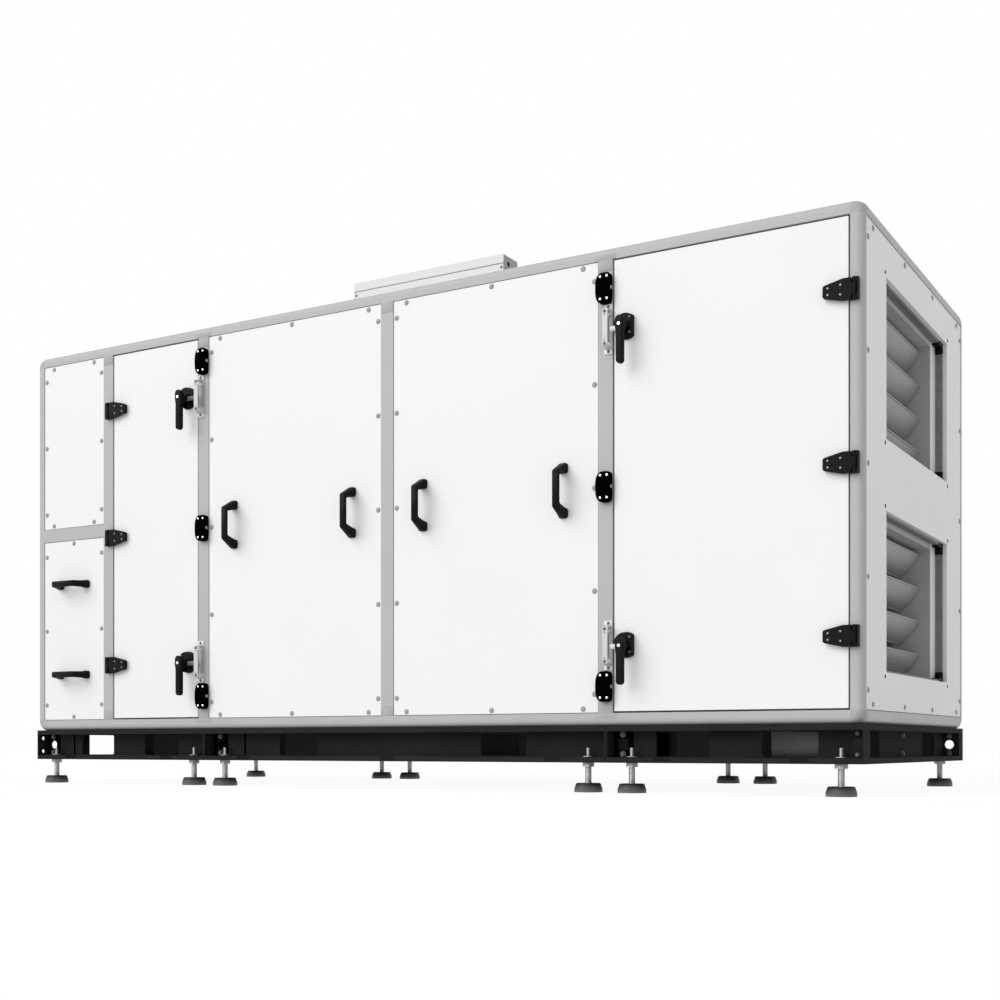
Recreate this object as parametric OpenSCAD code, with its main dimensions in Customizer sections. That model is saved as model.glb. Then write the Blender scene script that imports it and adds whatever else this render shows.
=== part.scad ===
// Modular air handling unit: three bolted sections on a channel base with levelling feet.
// Millimetres, Z up, front towards -Y, origin at the middle of the footprint on the floor.

/* [Casing] */
// clear width of the narrow panel column at the left
left_column_w = 330; // [250:1:450]
// clear width of the left door
left_door_w = 440; // [380:1:600]
// clear width of each service panel
service_w = 780; // [640:1:900]
// clear width of the right door
right_door_w = 750; // [600:1:850]
// depth over the frame
casing_d = 1300; // [1200:1:1500]
// height over the frame
casing_h = 1500; // [1460:1:1600]

/* [Frame] */
// face width of the outer edge profiles
edge_w = 40; // [36:1:50]
// outer rounding of the edge profiles
edge_r = 22; // [5:1:30]
// width of the posts between panels
post_w = 50; // [44:1:60]
// thickness of the seat flanges behind the panels
flange_t = 5; // [3:0.5:6]
// how far a seat flange reaches behind a panel
flange_reach = 15; // [13:1:20]
// how far the panels sit behind the frame face
recess = 2; // [2:0.5:5]
// joint round the fixed panels
panel_gap = 2; // [2:0.5:5]
// height of the middle of the left column rail, above the casing bottom
mid_rail_z = 780; // [700:1:820]
// width of a corner post that shows beside an end panel
end_edge_w = 26; // [24:1:32]
// thickness of the lips with which an end panel laps its corner posts
end_lip_t = 6; // [4:0.5:8]

/* [Doors] */
// joint round the doors
door_gap = 5.5; // [5.5:0.5:8]
// thickness of the outer door skin
door_skin = 7; // [4:1:10]
// how far the door core steps in behind the skin
door_step = 3; // [3:0.5:6]
// air between the door back and its seat
door_back_gap = 5; // [5:0.5:8]

/* [Hinges] */
// distance of the outer hinges and levers from the top and bottom of the casing
fitting_inset = 255; // [215:1:300]
// distance of the hinges, latches and joint plates below the middle of the casing
fitting_drop = 4; // [0:1:20]
// how far the hinge pin stands beyond the door opening
pin_out = 16; // [15:1:18]
// how far the hinge pin stands in front of the frame
pin_front = 12; // [12:0.5:15]
// radius of the hinge knuckles
knuckle_r = 7; // [6:0.5:8]
// radius of the hinge pins
pin_r = 3; // [2.5:0.5:4]
// reach of a fixed hinge half beyond the pin
hinge_out = 12; // [11:1:14]
// height of a hinge
hinge_h = 63; // [60:1:80]
// height of the narrow end of a door leaf
leaf_end_h = 37; // [30:1:50]
// distance from the pin at which a door leaf starts to taper
leaf_shoulder = 34; // [30:1:50]
// reach of a door leaf from the pin
leaf_reach = 92; // [80:1:110]

/* [Latches] */
// distance of the lever pivot from the edge of the door opening
lever_in = 49; // [48:1:60]
// distance of a lever pivot below the middle of its base
pivot_drop = 5; // [0:1:8]
// radius of the round ends of a lever base
lever_base_r = 41; // [38:1:42]
// half the width of a lever base
lever_base_half = 30; // [28:1:32]
// thickness of the plate of a lever base
lever_plate_t = 5; // [5:0.5:8]
// thickness of a lever base over its raised part
lever_base_t = 22; // [20:1:25]
// radius of the lever hub
lever_hub_r = 18; // [17:1:20]
// radius of the neck behind the hub
lever_neck_r = 13; // [12:0.5:14]
// pivot to tip of a lever
lever_reach = 122; // [100:1:140]
// width of a lever arm
lever_arm_w = 27; // [22:1:30]
// thickness of a lever arm
lever_arm_t = 15; // [10:1:18]
// how far a lever stands in front of the frame
lever_proud = 60; // [56:1:75]
// radius of the roller pin on a lever
roller_r = 8; // [6:0.5:8.5]
// height of a latch strike
strike_h = 156; // [146:1:160]
// width of a latch strike
strike_w = 28; // [26:1:32]
// how far a latch strike stands in front of the frame
strike_proud = 30; // [24:1:36]
// length of the raised strip of a strike
strip_l = 128; // [116:1:134]
// width of the raised strip of a strike
strip_w = 18; // [14:1:20]
// distance of the raised strip from the door opening
strip_in = 4; // [4:0.5:6]
// height of the recess in the door side of a strike
strike_recess_h = 86; // [70:1:100]
// depth of that recess
strike_recess_d = 15; // [10:1:18]

/* [Fittings] */
// height of a section joint plate
joint_plate_h = 102; // [90:1:110]
// thickness of a section joint plate
joint_plate_t = 21; // [12:1:24]
// length of a bridge handle
handle_l = 176; // [150:1:220]
// how far a bridge handle stands in front of its panel
handle_proud = 62; // [42:1:62]
// width of a bridge handle grip
handle_w = 24; // [20:1:32]
// distance of a service panel handle from the panel side
handle_in = 123; // [60:1:200]

/* [Dampers] */
// width of a duct opening
duct_w = 800; // [700:1:820]
// height of a duct opening
duct_h = 484; // [480:1:500]
// height of the middle of a duct opening from the middle of the casing
duct_z = 350; // [320:1:370]
// spread of the flange holes outside each opening corner
duct_hole_out = 13; // [10:1:30]
// radius of the flange holes
duct_hole_r = 4; // [3:0.5:6]
// thickness of the ring that lines a duct opening
duct_ring_t = 8; // [5:0.5:12]
// depth of that ring behind the frame face
duct_ring_in = 16; // [8:1:20]
// clear width of a damper
damper_w = 634; // [500:1:660]
// distance of a damper below the middle of its opening
damper_drop = 13; // [0:1:14]
// blades in a damper
blade_n = 4; // [4:1:4]
// distance between blade axles
blade_pitch = 115; // [105:1:118]
// air between a closed blade and the next part
blade_gap = 5; // [5:0.5:8]
// thickness of a blade at its axle
blade_t = 14; // [13:0.5:22]
// radius of the bead along both edges of a blade
bead_r = 3; // [2:0.5:4]
// angle of the blades from closed, as the unit stands
blade_open = 42; // [0:1:90]
// depth of the blade axles behind the damper flange
axle_in = 69; // [66:1:130]
// radius of the blade axles
axle_r = 6; // [5:0.5:6]

/* [Base] */
// height of the base channels
base_h = 116; // [116:1:160]
// depth of the base channels
base_d = 56; // [54:1:70]
// plate thickness of the base channels
base_t = 4; // [3:0.5:6]
// height of the channel lips
lip_h = 17; // [12:1:22]
// width of a fork pocket
fork_w = 174; // [150:1:190]
// height of a fork pocket
fork_h = 80; // [70:1:84]
// corner radius of a fork pocket
fork_r = 10; // [5:1:20]
// depth of the folded sides of the pockets in the cross beams
fork_tab = 25; // [10:1:40]
// distance of the fork pockets from the middle of an end section
fork_end = 170; // [165:1:190]
// distance of the left section's fork pockets to the right of its middle
fork_left_shift = 9; // [0:1:12]
// distance of the fork pockets from the middle of the long section
fork_mid = 428; // [300:1:480]
// distance of the fork pockets from the middle of a cross beam
fork_cross = 364; // [250:1:400]
// width of a notch in the lower lip
notch_w = 54; // [40:1:70]
// distance of a notch from the end of its section
notch_in = 190; // [150:1:240]
// radius of the lifting holes
lift_r = 16; // [12:1:20]
// distance of a lifting hole from the end of its section
lift_in = 35; // [30:1:50]
// radius of the bolt holes in the ends of the channels
end_hole_r = 7.5; // [5:0.5:9]
// distance of those holes from the middle of the channel height
end_hole_z = 26; // [18:1:30]
// gap between the base frames of two sections
section_gap = 2; // [1:0.5:4]

/* [Feet] */
// height of the base frame above the floor
foot_h = 94; // [80:1:130]
// height of a rubber pad
pad_h = 29; // [20:1:40]
// radius of a rubber pad
pad_r = 45; // [36:1:50]
// height of the straight rim of a rubber pad
pad_rim = 11; // [4:1:14]
// distance of a foot from the end of its section
foot_in = 75; // [60:1:100]
// radius of a foot stud under the base
stud_r = 10; // [8:0.5:11]
// radius of its thread above the base
stud_top_r = 6.5; // [5:0.5:8]
// how far that thread stands above the base channel's flange
stud_top = 43; // [35:1:60]

/* [Roof box] */
// length of the roof box
roof_box_l = 616; // [400:1:700]
// depth of the roof box
roof_box_d = 93; // [70:1:140]
// height of the roof box with its lid
roof_box_h = 102; // [80:1:140]
// height of its lid
roof_lid_h = 29; // [20:1:40]
// distance of the roof box behind the frame front
roof_box_in = 135; // [60:1:300]
// distance of the roof box from the middle of its section
roof_box_shift = 74; // [-200:1:200]

/* [Hidden] */
$fn = 64;
eps = 1;
stud_y = 33;

// the main box
casing_l = 2 * edge_w + left_column_w + left_door_w + 2 * service_w + right_door_w + 4 * post_w;
hx = casing_l / 2;
pad_out = max(0, pad_r - stud_y);
y_front = (lever_proud - casing_d - pad_out) / 2;
y_rear = y_front + casing_d;
y_mid = (y_front + y_rear) / 2;
z_bot = foot_h + base_h;
z_top = z_bot + casing_h;
z_mid = (z_bot + z_top) / 2;
seat = edge_w;
panel_t = seat - recess;
lip_gap = 1;

// the front from left to right: every bay and the post after it
bay_0 = -hx + edge_w;
bay_1 = bay_0 + left_column_w + post_w;
bay_2 = bay_1 + left_door_w + post_w;
bay_3 = bay_2 + service_w + post_w;
bay_4 = bay_3 + service_w + post_w;
end_4 = bay_4 + right_door_w;
split_left = bay_2 - post_w / 2;
split_right = bay_4 - post_w / 2;
front_post_x = [bay_1 - post_w / 2, split_left, bay_3 - post_w / 2, split_right];
rear_post_x = [split_left, bay_3 - post_w / 2, split_right];
split_x = [split_left, split_right];
fitting_z = casing_h / 2 - fitting_inset;
fitting_mid = z_mid - fitting_drop;
fitting_levels = [fitting_mid - fitting_z, fitting_mid + fitting_z];
hinge_levels = [fitting_mid - fitting_z, fitting_mid, fitting_mid + fitting_z];
joint_plate_gap = 1;
joint_plate_z = fitting_z + strike_h / 2 + joint_plate_gap + joint_plate_h / 2;
joint_plate_levels = [fitting_mid - joint_plate_z, fitting_mid, fitting_mid + joint_plate_z];

// fittings
right_pin_x = end_4 + pin_out;
left_pin_x = bay_1 - pin_out;
right_lever_x = bay_4 + lever_in;
left_lever_x = bay_2 - post_w - lever_in;
hub_gap = 2;
bore_gap = 0.25;
leaf_gap = 3;
leaf_t = 8;
turn_gap = 5;
roller_tip = 2;
roller_front = lever_plate_t - recess + turn_gap + 1 + roller_r;
spindle_r = lever_hub_r * 0.4;
hub_back = lever_base_t - recess + hub_gap;
neck_back = lever_plate_t - recess + hub_gap;

// dampers
blade_c = blade_pitch - 2 * blade_gap;
damper_h = blade_n * blade_pitch;
damper_side = 12;
damper_top = 5;
flange_lap = 20;
sleeve_d = axle_in + blade_c / 2 + 10;
axle_x = hx - seat - axle_in;
blade_curve = (pow(blade_c / 2, 2) + pow(blade_t / 2, 2)) / blade_t;

// roof box
roof_box_x = (split_left + split_right) / 2 + roof_box_shift;
roof_z = z_top - recess;

// base sections, as [left end, right end, distance between pockets and their middle, shift of that middle]
sections = [
  [-hx, split_left - section_gap / 2, fork_end, fork_left_shift],
  [split_left + section_gap / 2, split_right - section_gap / 2, fork_mid, 0],
  [split_right + section_gap / 2, hx, fork_end, 0]
];
function middle(s) = (s[0] + s[1]) / 2;

painted_white = [0.95, 0.95, 0.94];
frame_grey = [0.72, 0.73, 0.73];
black = [0.13, 0.13, 0.13];
steel = [0.75, 0.76, 0.77];
galvanised = [0.5, 0.51, 0.52];
rubber = [0.07, 0.07, 0.07];

// box between two corners
module span(x0, x1, y0, y1, z0, z1) {
  translate([x0, y0, z0]) cube([x1 - x0, y1 - y0, z1 - z0]);
}

module flip(v, on) {
  if (on) mirror(v) children();
  else children();
}

// the same thing on the rear side
module rear_copy() {
  translate([0, 2 * y_mid, 0]) mirror([0, 1, 0]) children();
}

// square with one rounded corner at the origin
module edge_square() {
  difference() {
    square(edge_w);
    difference() {
      square(edge_r);
      translate([edge_r, edge_r]) circle(edge_r);
    }
  }
}

// inner part of the edge profile: the two seat flanges and a link that stays inside the panel joint
module edge_seats() {
  translate([seat - flange_t, seat - flange_t]) square(flange_t + panel_gap / 2);
  translate([seat, seat]) square([flange_t, flange_reach]);
  translate([seat, seat]) square([flange_reach, flange_t]);
}

// places a corner profile on corner k of a w by h rectangle
module at_corner(w, h, k) {
  sx = (k == 0 || k == 3) ? -1 : 1;
  sy = (k < 2) ? -1 : 1;
  translate([sx * w / 2, sy * h / 2]) rotate(90 * k) children();
}

// edge profile on corner k of a w by h section, between the corner pieces of length l
module edge_bar(w, h, l, k) {
  translate([0, 0, edge_w]) linear_extrude(l - 2 * edge_w) at_corner(w, h, k) edge_square();
  translate([0, 0, seat + flange_reach])
    linear_extrude(l - 2 * (seat + flange_reach)) at_corner(w, h, k) edge_seats();
}

// post between two panels: face at y = 0, length along z
module tee_bar(l) {
  core = seat - flange_t;
  span(-post_w / 2, post_w / 2, 0, core, 0, l);
  span(-post_w / 2, post_w / 2, core, seat, flange_reach, l - flange_reach);
  wing = post_w / 2 + flange_reach;
  span(-wing, wing, seat, seat + flange_t, flange_reach, l - flange_reach);
}

// panel in a front bay, from its opening
module front_panel(x0, x1, z0, z1) {
  span(x0 + panel_gap, x1 - panel_gap, y_front + recess, y_front + seat, z0 + panel_gap, z1 - panel_gap);
}

// door in a front bay: a skin and a stepped core
module door_leaf(x0, x1) {
  z0 = z_bot + edge_w + door_gap;
  z1 = z_top - edge_w - door_gap;
  back = y_front + seat - door_back_gap;
  face = y_front + recess;
  span(x0 + door_gap, x1 - door_gap, face, face + door_skin, z0, z1);
  inset = door_gap + door_step;
  span(x0 + inset, x1 - inset, face + door_skin, back, z0 + door_step, z1 - door_step);
}

// rectangle with round corners
module rounded(w, h, r) {
  square([w, h - 2 * r], center = true);
  square([w - 2 * r, h], center = true);
  for (sx = [-1, 1]) {
    for (sy = [-1, 1]) {
      translate([sx * (w / 2 - r), sy * (h / 2 - r)]) circle(r);
    }
  }
}

module pocket() {
  rounded(fork_w, fork_h, fork_r);
}

// channel of one section side, open to the front, lips turned in
module base_beam(s) {
  x0 = s[0];
  x1 = s[1];
  z0 = foot_h;
  z1 = foot_h + base_h;
  mid = middle(s);
  zc = (z0 + z1) / 2;
  web_back = y_front + base_d + base_t + eps;
  long_section = x1 - x0 > 6 * notch_in;
  notches = long_section ? [x0 + notch_in, mid, x1 - notch_in] : [x0 + notch_in, x1 - notch_in];
  difference() {
    span(x0, x1, y_front, y_front + base_d + base_t, z0, z1);
    span(x0 + base_t, x1 - base_t, y_front + base_t, y_front + base_d, z0 + base_t, z1 - base_t);
    span(x0 + base_t, x1 - base_t, y_front - eps, y_front + base_t + eps, z0 + lip_h, z1 - lip_h);
    for (d = [s[3] - s[2], s[3] + s[2]]) {
      translate([mid + d, web_back, zc]) rotate([90, 0, 0]) linear_extrude(base_t + 2 * eps) pocket();
    }
    for (x = notches) {
      translate([x - notch_w / 2, y_front - eps, z0 + base_t]) cube([notch_w, base_t + 2 * eps, lip_h]);
    }
    // lifting holes through the web and bolt holes through both ends
    for (x = [x0 + lift_in, x1 - lift_in]) {
      translate([x, web_back, zc]) rotate([90, 0, 0]) cylinder(r = lift_r, h = base_t + 2 * eps);
    }
    for (x = [x0 - eps, x1 - base_t - eps]) {
      for (dz = [-end_hole_z, end_hole_z]) {
        translate([x, y_front + base_d / 2, zc + dz]) rotate([0, 90, 0])
          cylinder(r = end_hole_r, h = base_t + 2 * eps);
      }
    }
    for (x = [x0 + foot_in, x1 - foot_in]) {
      translate([x, y_front + stud_y, z0 - eps]) cylinder(r = stud_r + 0.5, h = base_t + 2 * eps);
    }
  }
}

module base_side_beams() {
  color(black) {
    for (s = sections) {
      base_beam(s);
      rear_copy() base_beam(s);
    }
  }
}

// channel across a section with its lips at x, open to the left or right, pockets with folded sides
module cross_beam(x, to_right) {
  y0 = y_front + base_d + base_t;
  y1 = y_rear - base_d - base_t;
  z0 = foot_h;
  z1 = foot_h + base_h;
  zc = (z0 + z1) / 2;
  back = base_d + base_t;
  tab_z = fork_h / 2 - fork_r;
  translate([x, 0, 0]) flip([1, 0, 0], to_right) {
    difference() {
      span(0, back, y0, y1, z0, z1);
      span(base_t, base_d, y0 - eps, y1 + eps, z0 + base_t, z1 - base_t);
      span(-eps, base_t + eps, y0 - eps, y1 + eps, z0 + lip_h, z1 - lip_h);
      for (d = [-fork_cross, fork_cross]) {
        translate([base_d - eps, y_mid + d, zc]) rotate([90, 0, 90])
          linear_extrude(base_t + 2 * eps) pocket();
      }
    }
    for (d = [-fork_cross, fork_cross]) {
      for (y = [y_mid + d - fork_w / 2 - base_t, y_mid + d + fork_w / 2]) {
        span(back, back + fork_tab, y, y + base_t, zc - tab_z, zc + tab_z);
      }
    }
  }
}

module base_cross_beams() {
  color(black) {
    for (s = sections) {
      cross_beam(s[0], false);
      cross_beam(middle(s) + base_d, true);
      cross_beam(s[1], true);
    }
  }
}

// places a foot at every section corner
module at_feet() {
  for (s = sections) {
    for (x = [s[0] + foot_in, s[1] - foot_in]) {
      for (y = [y_front + stud_y, y_rear - stud_y]) {
        translate([x, y, 0]) children();
      }
    }
  }
}

// rubber pad: straight rim, sloping side and a broken top edge, turned in one piece
module foot_pads() {
  slope = 5;
  edge = 3;
  color(rubber) at_feet() rotate_extrude() polygon([
    [0, 0], [pad_r, 0], [pad_r, pad_rim], [pad_r - slope, pad_h - edge],
    [pad_r - slope - edge, pad_h], [0, pad_h]
  ]);
}

// stud with a nut under the base, a collar up to the channel's lip and a washer on it
module foot_studs() {
  nut_h = 13;
  washer_t = 3;
  flange_z = foot_h + base_t;
  washer_z = foot_h + lip_h + 1;
  color(steel) at_feet() {
    translate([0, 0, pad_h]) cylinder(r = stud_r, h = washer_z - pad_h);
    translate([0, 0, foot_h - nut_h]) cylinder(r = 2 * stud_r, h = nut_h, $fn = 6);
    translate([0, 0, washer_z]) cylinder(r = 2 * stud_r, h = washer_t);
    translate([0, 0, washer_z]) cylinder(r = stud_top_r, h = flange_z + stud_top - washer_z);
  }
}

module frame_rails() {
  color(frame_grey) {
    for (k = [0:3]) {
      translate([-hx, y_mid, z_mid]) rotate([90, 0, 90]) edge_bar(casing_d, casing_h, casing_l, k);
      translate([0, y_rear, z_mid]) rotate([90, 0, 0]) edge_bar(casing_l, casing_h, casing_d, k);
    }
  }
}

// rebate in the end face of a corner post for the lip of the end panel
module end_rebate() {
  depth = recess + end_lip_t + lip_gap;
  span(hx - depth, hx + eps, y_front + end_edge_w, y_front + edge_w + eps, z_bot, z_top);
}

module corner_posts() {
  color(frame_grey) difference() {
    translate([0, y_mid, z_bot]) {
      for (k = [0:3]) {
        edge_bar(casing_l, casing_d, casing_h, k);
      }
    }
    for (m = [false, true]) {
      flip([1, 0, 0], m) {
        end_rebate();
        rear_copy() end_rebate();
      }
    }
  }
}

// corner piece with its outer corner at the origin
module corner_piece() {
  intersection() {
    linear_extrude(edge_w) edge_square();
    rotate([90, 0, 90]) linear_extrude(edge_w) edge_square();
    translate([0, edge_w, 0]) rotate([90, 0, 0]) linear_extrude(edge_w) edge_square();
  }
}

module frame_corners() {
  color(frame_grey) {
    for (sx = [-1, 1]) {
      for (sy = [-1, 1]) {
        for (sz = [-1, 1]) {
          translate([sx * hx, y_mid + sy * casing_d / 2, z_mid + sz * casing_h / 2])
            flip([1, 0, 0], sx > 0) flip([0, 1, 0], sy > 0) flip([0, 0, 1], sz > 0) corner_piece();
        }
      }
    }
  }
}

module front_posts() {
  color(frame_grey) {
    for (x = front_post_x) {
      translate([x, y_front, z_bot + edge_w]) tee_bar(casing_h - 2 * edge_w);
    }
  }
}

module rear_posts() {
  color(frame_grey) {
    for (x = rear_post_x) {
      translate([x, y_rear, z_bot + edge_w]) rotate([0, 0, 180]) tee_bar(casing_h - 2 * edge_w);
    }
  }
}

module left_mid_rail() {
  color(frame_grey) translate([bay_0, y_front, z_bot + mid_rail_z]) rotate([0, 90, 0])
    tee_bar(left_column_w);
}

module cross_rails() {
  color(frame_grey) {
    for (x = split_x) {
      translate([x, y_front + edge_w, z_top]) rotate([-90, 0, 0]) tee_bar(casing_d - 2 * edge_w);
      translate([x, y_rear - edge_w, z_bot]) rotate([90, 0, 0]) tee_bar(casing_d - 2 * edge_w);
    }
  }
}

module upper_left_panel() {
  color(painted_white) front_panel(bay_0, bay_1 - post_w, z_bot + mid_rail_z + post_w / 2, z_top - edge_w);
}

module lower_left_panel() {
  color(painted_white) front_panel(bay_0, bay_1 - post_w, z_bot + edge_w, z_bot + mid_rail_z - post_w / 2);
}

module service_panel_1() {
  color(painted_white) front_panel(bay_2, bay_3 - post_w, z_bot + edge_w, z_top - edge_w);
}

module service_panel_2() {
  color(painted_white) front_panel(bay_3, bay_4 - post_w, z_bot + edge_w, z_top - edge_w);
}

module rear_panels() {
  starts = [bay_0, bay_2, bay_3, bay_4];
  ends = [bay_2 - post_w, bay_3 - post_w, bay_4 - post_w, end_4];
  color(painted_white) rear_copy() {
    for (i = [0:3]) {
      front_panel(starts[i], ends[i], z_bot + edge_w, z_top - edge_w);
    }
  }
}

// the three panels of the roof or the floor, between two heights
module deck(z0, z1) {
  starts = [bay_0, bay_2, bay_4];
  ends = [bay_2 - post_w, bay_4 - post_w, end_4];
  g = edge_w + panel_gap;
  for (i = [0:2]) {
    span(starts[i] + panel_gap, ends[i] - panel_gap, y_front + g, y_rear - g, z0, z1);
  }
}

module roof_panels() {
  color(painted_white) deck(z_top - seat, z_top - recess);
}

module floor_panels() {
  color(painted_white) deck(z_bot + recess, z_bot + seat);
}

// end panel that laps its corner posts, with two duct openings and the blind flange holes round them
module end_panel() {
  g = edge_w + panel_gap;
  lap = end_edge_w + panel_gap;
  hole_depth = panel_t - 5;
  difference() {
    union() {
      span(hx - seat, hx - recess, y_front + g, y_rear - g, z_bot + g, z_top - g);
      span(hx - recess - end_lip_t, hx - recess, y_front + lap, y_rear - lap, z_bot + g, z_top - g);
    }
    for (s = [-1, 1]) {
      translate([hx - seat - eps, y_mid - duct_w / 2, z_mid + s * duct_z - duct_h / 2])
        cube([seat, duct_w, duct_h]);
      for (dy = [-1, 1]) {
        for (dz = [-1, 1]) {
          translate([
            hx - recess - hole_depth,
            y_mid + dy * (duct_w / 2 + duct_hole_out),
            z_mid + s * duct_z + dz * (duct_h / 2 + duct_hole_out)
          ]) rotate([0, 90, 0]) cylinder(r = duct_hole_r, h = hole_depth + eps);
        }
      }
    }
  }
}

module left_end_panel() {
  color(painted_white) mirror([1, 0, 0]) end_panel();
}

module right_end_panel() {
  color(painted_white) end_panel();
}

module left_door_panel() {
  color(painted_white) door_leaf(bay_1, bay_2 - post_w);
}

module right_door_panel() {
  color(painted_white) door_leaf(bay_4, end_4);
}

// fixed half of a hinge: pin at the origin, door towards +x, frame face at y = pin_front
module post_leaf() {
  cheek = 14;
  span(-hinge_out, -knuckle_r - 1.5, -3, pin_front, -hinge_h / 2, hinge_h / 2);
  span(-hinge_out, pin_out - 4, pin_front - 4, pin_front, -hinge_h / 2, hinge_h / 2);
  for (z = [-hinge_h / 2, hinge_h / 2 - cheek]) {
    translate([0, 0, z]) cylinder(r = knuckle_r, h = cheek);
    span(-knuckle_r - 2, 0, -3, pin_front, z, z + cheek);
  }
  translate([0, 0, -hinge_h / 2]) cylinder(r = pin_r, h = hinge_h);
}

// moving half of a hinge: a tapered plate on a foot, with the middle knuckle
module door_leaf_hinge() {
  cheek = 14;
  face = pin_front + recess;
  foot_x = pin_out + door_gap + leaf_gap;
  knuckle_h = hinge_h - 2 * cheek - 2;
  difference() {
    union() {
      translate([0, leaf_t - leaf_gap, 0]) rotate([90, 0, 0]) linear_extrude(leaf_t) polygon([
        [knuckle_r + leaf_gap, -hinge_h / 2], [leaf_shoulder, -hinge_h / 2],
        [leaf_reach - 4, -leaf_end_h / 2], [leaf_reach, -leaf_end_h / 2 + 4],
        [leaf_reach, leaf_end_h / 2 - 4], [leaf_reach - 4, leaf_end_h / 2],
        [leaf_shoulder, hinge_h / 2], [knuckle_r + leaf_gap, hinge_h / 2]
      ]);
      span(foot_x, leaf_reach - leaf_gap, leaf_t - leaf_gap, face, -leaf_end_h / 2 + 2, leaf_end_h / 2 - 2);
      span(0, knuckle_r + leaf_gap, -leaf_gap, leaf_t - leaf_gap, -knuckle_h / 2, knuckle_h / 2);
      translate([0, 0, -knuckle_h / 2]) cylinder(r = knuckle_r, h = knuckle_h);
    }
    translate([0, 0, -hinge_h]) cylinder(r = pin_r + bore_gap, h = 2 * hinge_h);
  }
}

// places a hinge half at each right or left hinge
module at_right_hinges() {
  for (z = hinge_levels) {
    translate([right_pin_x, y_front - pin_front, z]) mirror([1, 0, 0]) children();
  }
}

module at_left_hinges() {
  for (z = hinge_levels) {
    translate([left_pin_x, y_front - pin_front, z]) children();
  }
}

module hinge_post_leaves() {
  color(black) {
    at_right_hinges() post_leaf();
    at_left_hinges() post_leaf();
  }
}

module left_door_leaves() {
  color(black) at_left_hinges() door_leaf_hinge();
}

module right_door_leaves() {
  color(black) at_right_hinges() door_leaf_hinge();
}

// outline of a lever base round its pivot: round ends, flat sides
module base_outline() {
  translate([0, pivot_drop]) intersection() {
    circle(lever_base_r);
    square([2 * lever_base_half, 2 * lever_base_r], center = true);
  }
}

// lever base with its spindle: a plate and a raised part, cut away where the roller turns, post at -x
module lever_base() {
  free = roller_r + turn_gap;
  translate([0, recess, 0]) rotate([90, 0, 0]) {
    linear_extrude(lever_plate_t) base_outline();
    linear_extrude(lever_base_t) difference() {
      base_outline();
      translate([free - 2 * lever_base_r, free - 2 * lever_base_r]) square(2 * lever_base_r);
      circle(lever_neck_r + hub_gap);
    }
    cylinder(r = spindle_r, h = recess + lever_proud - 2);
  }
}

// lever: neck, hub and arm hanging down
module lever() {
  tip = lever_reach - lever_arm_w / 2;
  rotate([90, 0, 0]) difference() {
    union() {
      translate([0, 0, neck_back]) cylinder(r = lever_neck_r, h = lever_proud - neck_back);
      translate([0, 0, hub_back]) cylinder(r = lever_hub_r, h = lever_proud - hub_back);
      translate([0, 0, lever_proud - lever_arm_t]) linear_extrude(lever_arm_t) {
        translate([-lever_arm_w / 2, -tip]) square([lever_arm_w, tip]);
        translate([0, -tip]) circle(lever_arm_w / 2);
      }
    }
    cylinder(r = spindle_r + bore_gap, h = 2 * lever_proud);
  }
}

// roller pin that points from the neck to the post at -x
module roller() {
  reach = lever_in - roller_tip;
  difference() {
    translate([-reach, -roller_front, 0]) rotate([0, 90, 0]) cylinder(r = roller_r, h = reach - 2);
    rotate([90, 0, 0]) {
      cylinder(r = lever_neck_r, h = lever_proud);
      translate([0, 0, hub_back]) cylinder(r = lever_hub_r, h = lever_proud);
    }
  }
}

// places a latch piece on the right or left door, level i
module at_right_lever(i) {
  translate([right_lever_x, y_front, fitting_levels[i] - pivot_drop]) children();
}

module at_left_lever(i) {
  translate([left_lever_x, y_front, fitting_levels[i] - pivot_drop]) mirror([1, 0, 0]) children();
}

module left_lever_bases() {
  color(black) {
    for (i = [0, 1]) {
      at_left_lever(i) lever_base();
    }
  }
}

module right_lever_bases() {
  color(black) {
    for (i = [0, 1]) {
      at_right_lever(i) lever_base();
    }
  }
}

module left_lever_low() {
  color(black) at_left_lever(0) lever();
}

module left_lever_high() {
  color(black) at_left_lever(1) lever();
}

module right_lever_low() {
  color(black) at_right_lever(0) lever();
}

module right_lever_high() {
  color(black) at_right_lever(1) lever();
}

module left_roller_low() {
  color(steel) at_left_lever(0) roller();
}

module left_roller_high() {
  color(steel) at_left_lever(1) roller();
}

module right_roller_low() {
  color(steel) at_right_lever(0) roller();
}

module right_roller_high() {
  color(steel) at_right_lever(1) roller();
}

// bent strike, door side at x = 0, post towards -x: a base plate and a raised strip with sloping ends
module strike() {
  t = 3;
  ramp = 7;
  half = strike_h / 2;
  strip = strip_l / 2;
  round_r = 8;
  recess_x = round_r - strike_recess_d;
  recess_z = strike_recess_h / 2 - round_r;
  rotate([90, 0, 0]) linear_extrude(t) difference() {
    translate([-strike_w, -half]) square([strike_w, strike_h]);
    translate([recess_x, -strike_recess_h / 2]) square([strike_recess_d, strike_recess_h]);
    translate([-strike_recess_d, -recess_z]) square([strike_recess_d, 2 * recess_z]);
    for (z = [-recess_z, recess_z]) {
      translate([recess_x, z]) circle(round_r);
    }
  }
  translate([-strip_in - strip_w, 0, 0]) rotate([90, 0, 90]) linear_extrude(strip_w) difference() {
    polygon([[0, -strip], [-strike_proud, ramp - strip], [-strike_proud, strip - ramp], [0, strip]]);
    polygon([
      [eps, 2 * t - strip], [t - strike_proud, ramp + t - strip],
      [t - strike_proud, strip - ramp - t], [eps, strip - 2 * t]
    ]);
  }
}

module latch_strikes() {
  color(steel) {
    for (z = fitting_levels) {
      translate([bay_4, y_front, z]) strike();
      translate([bay_2 - post_w, y_front, z]) mirror([1, 0, 0]) strike();
    }
  }
}

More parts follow.
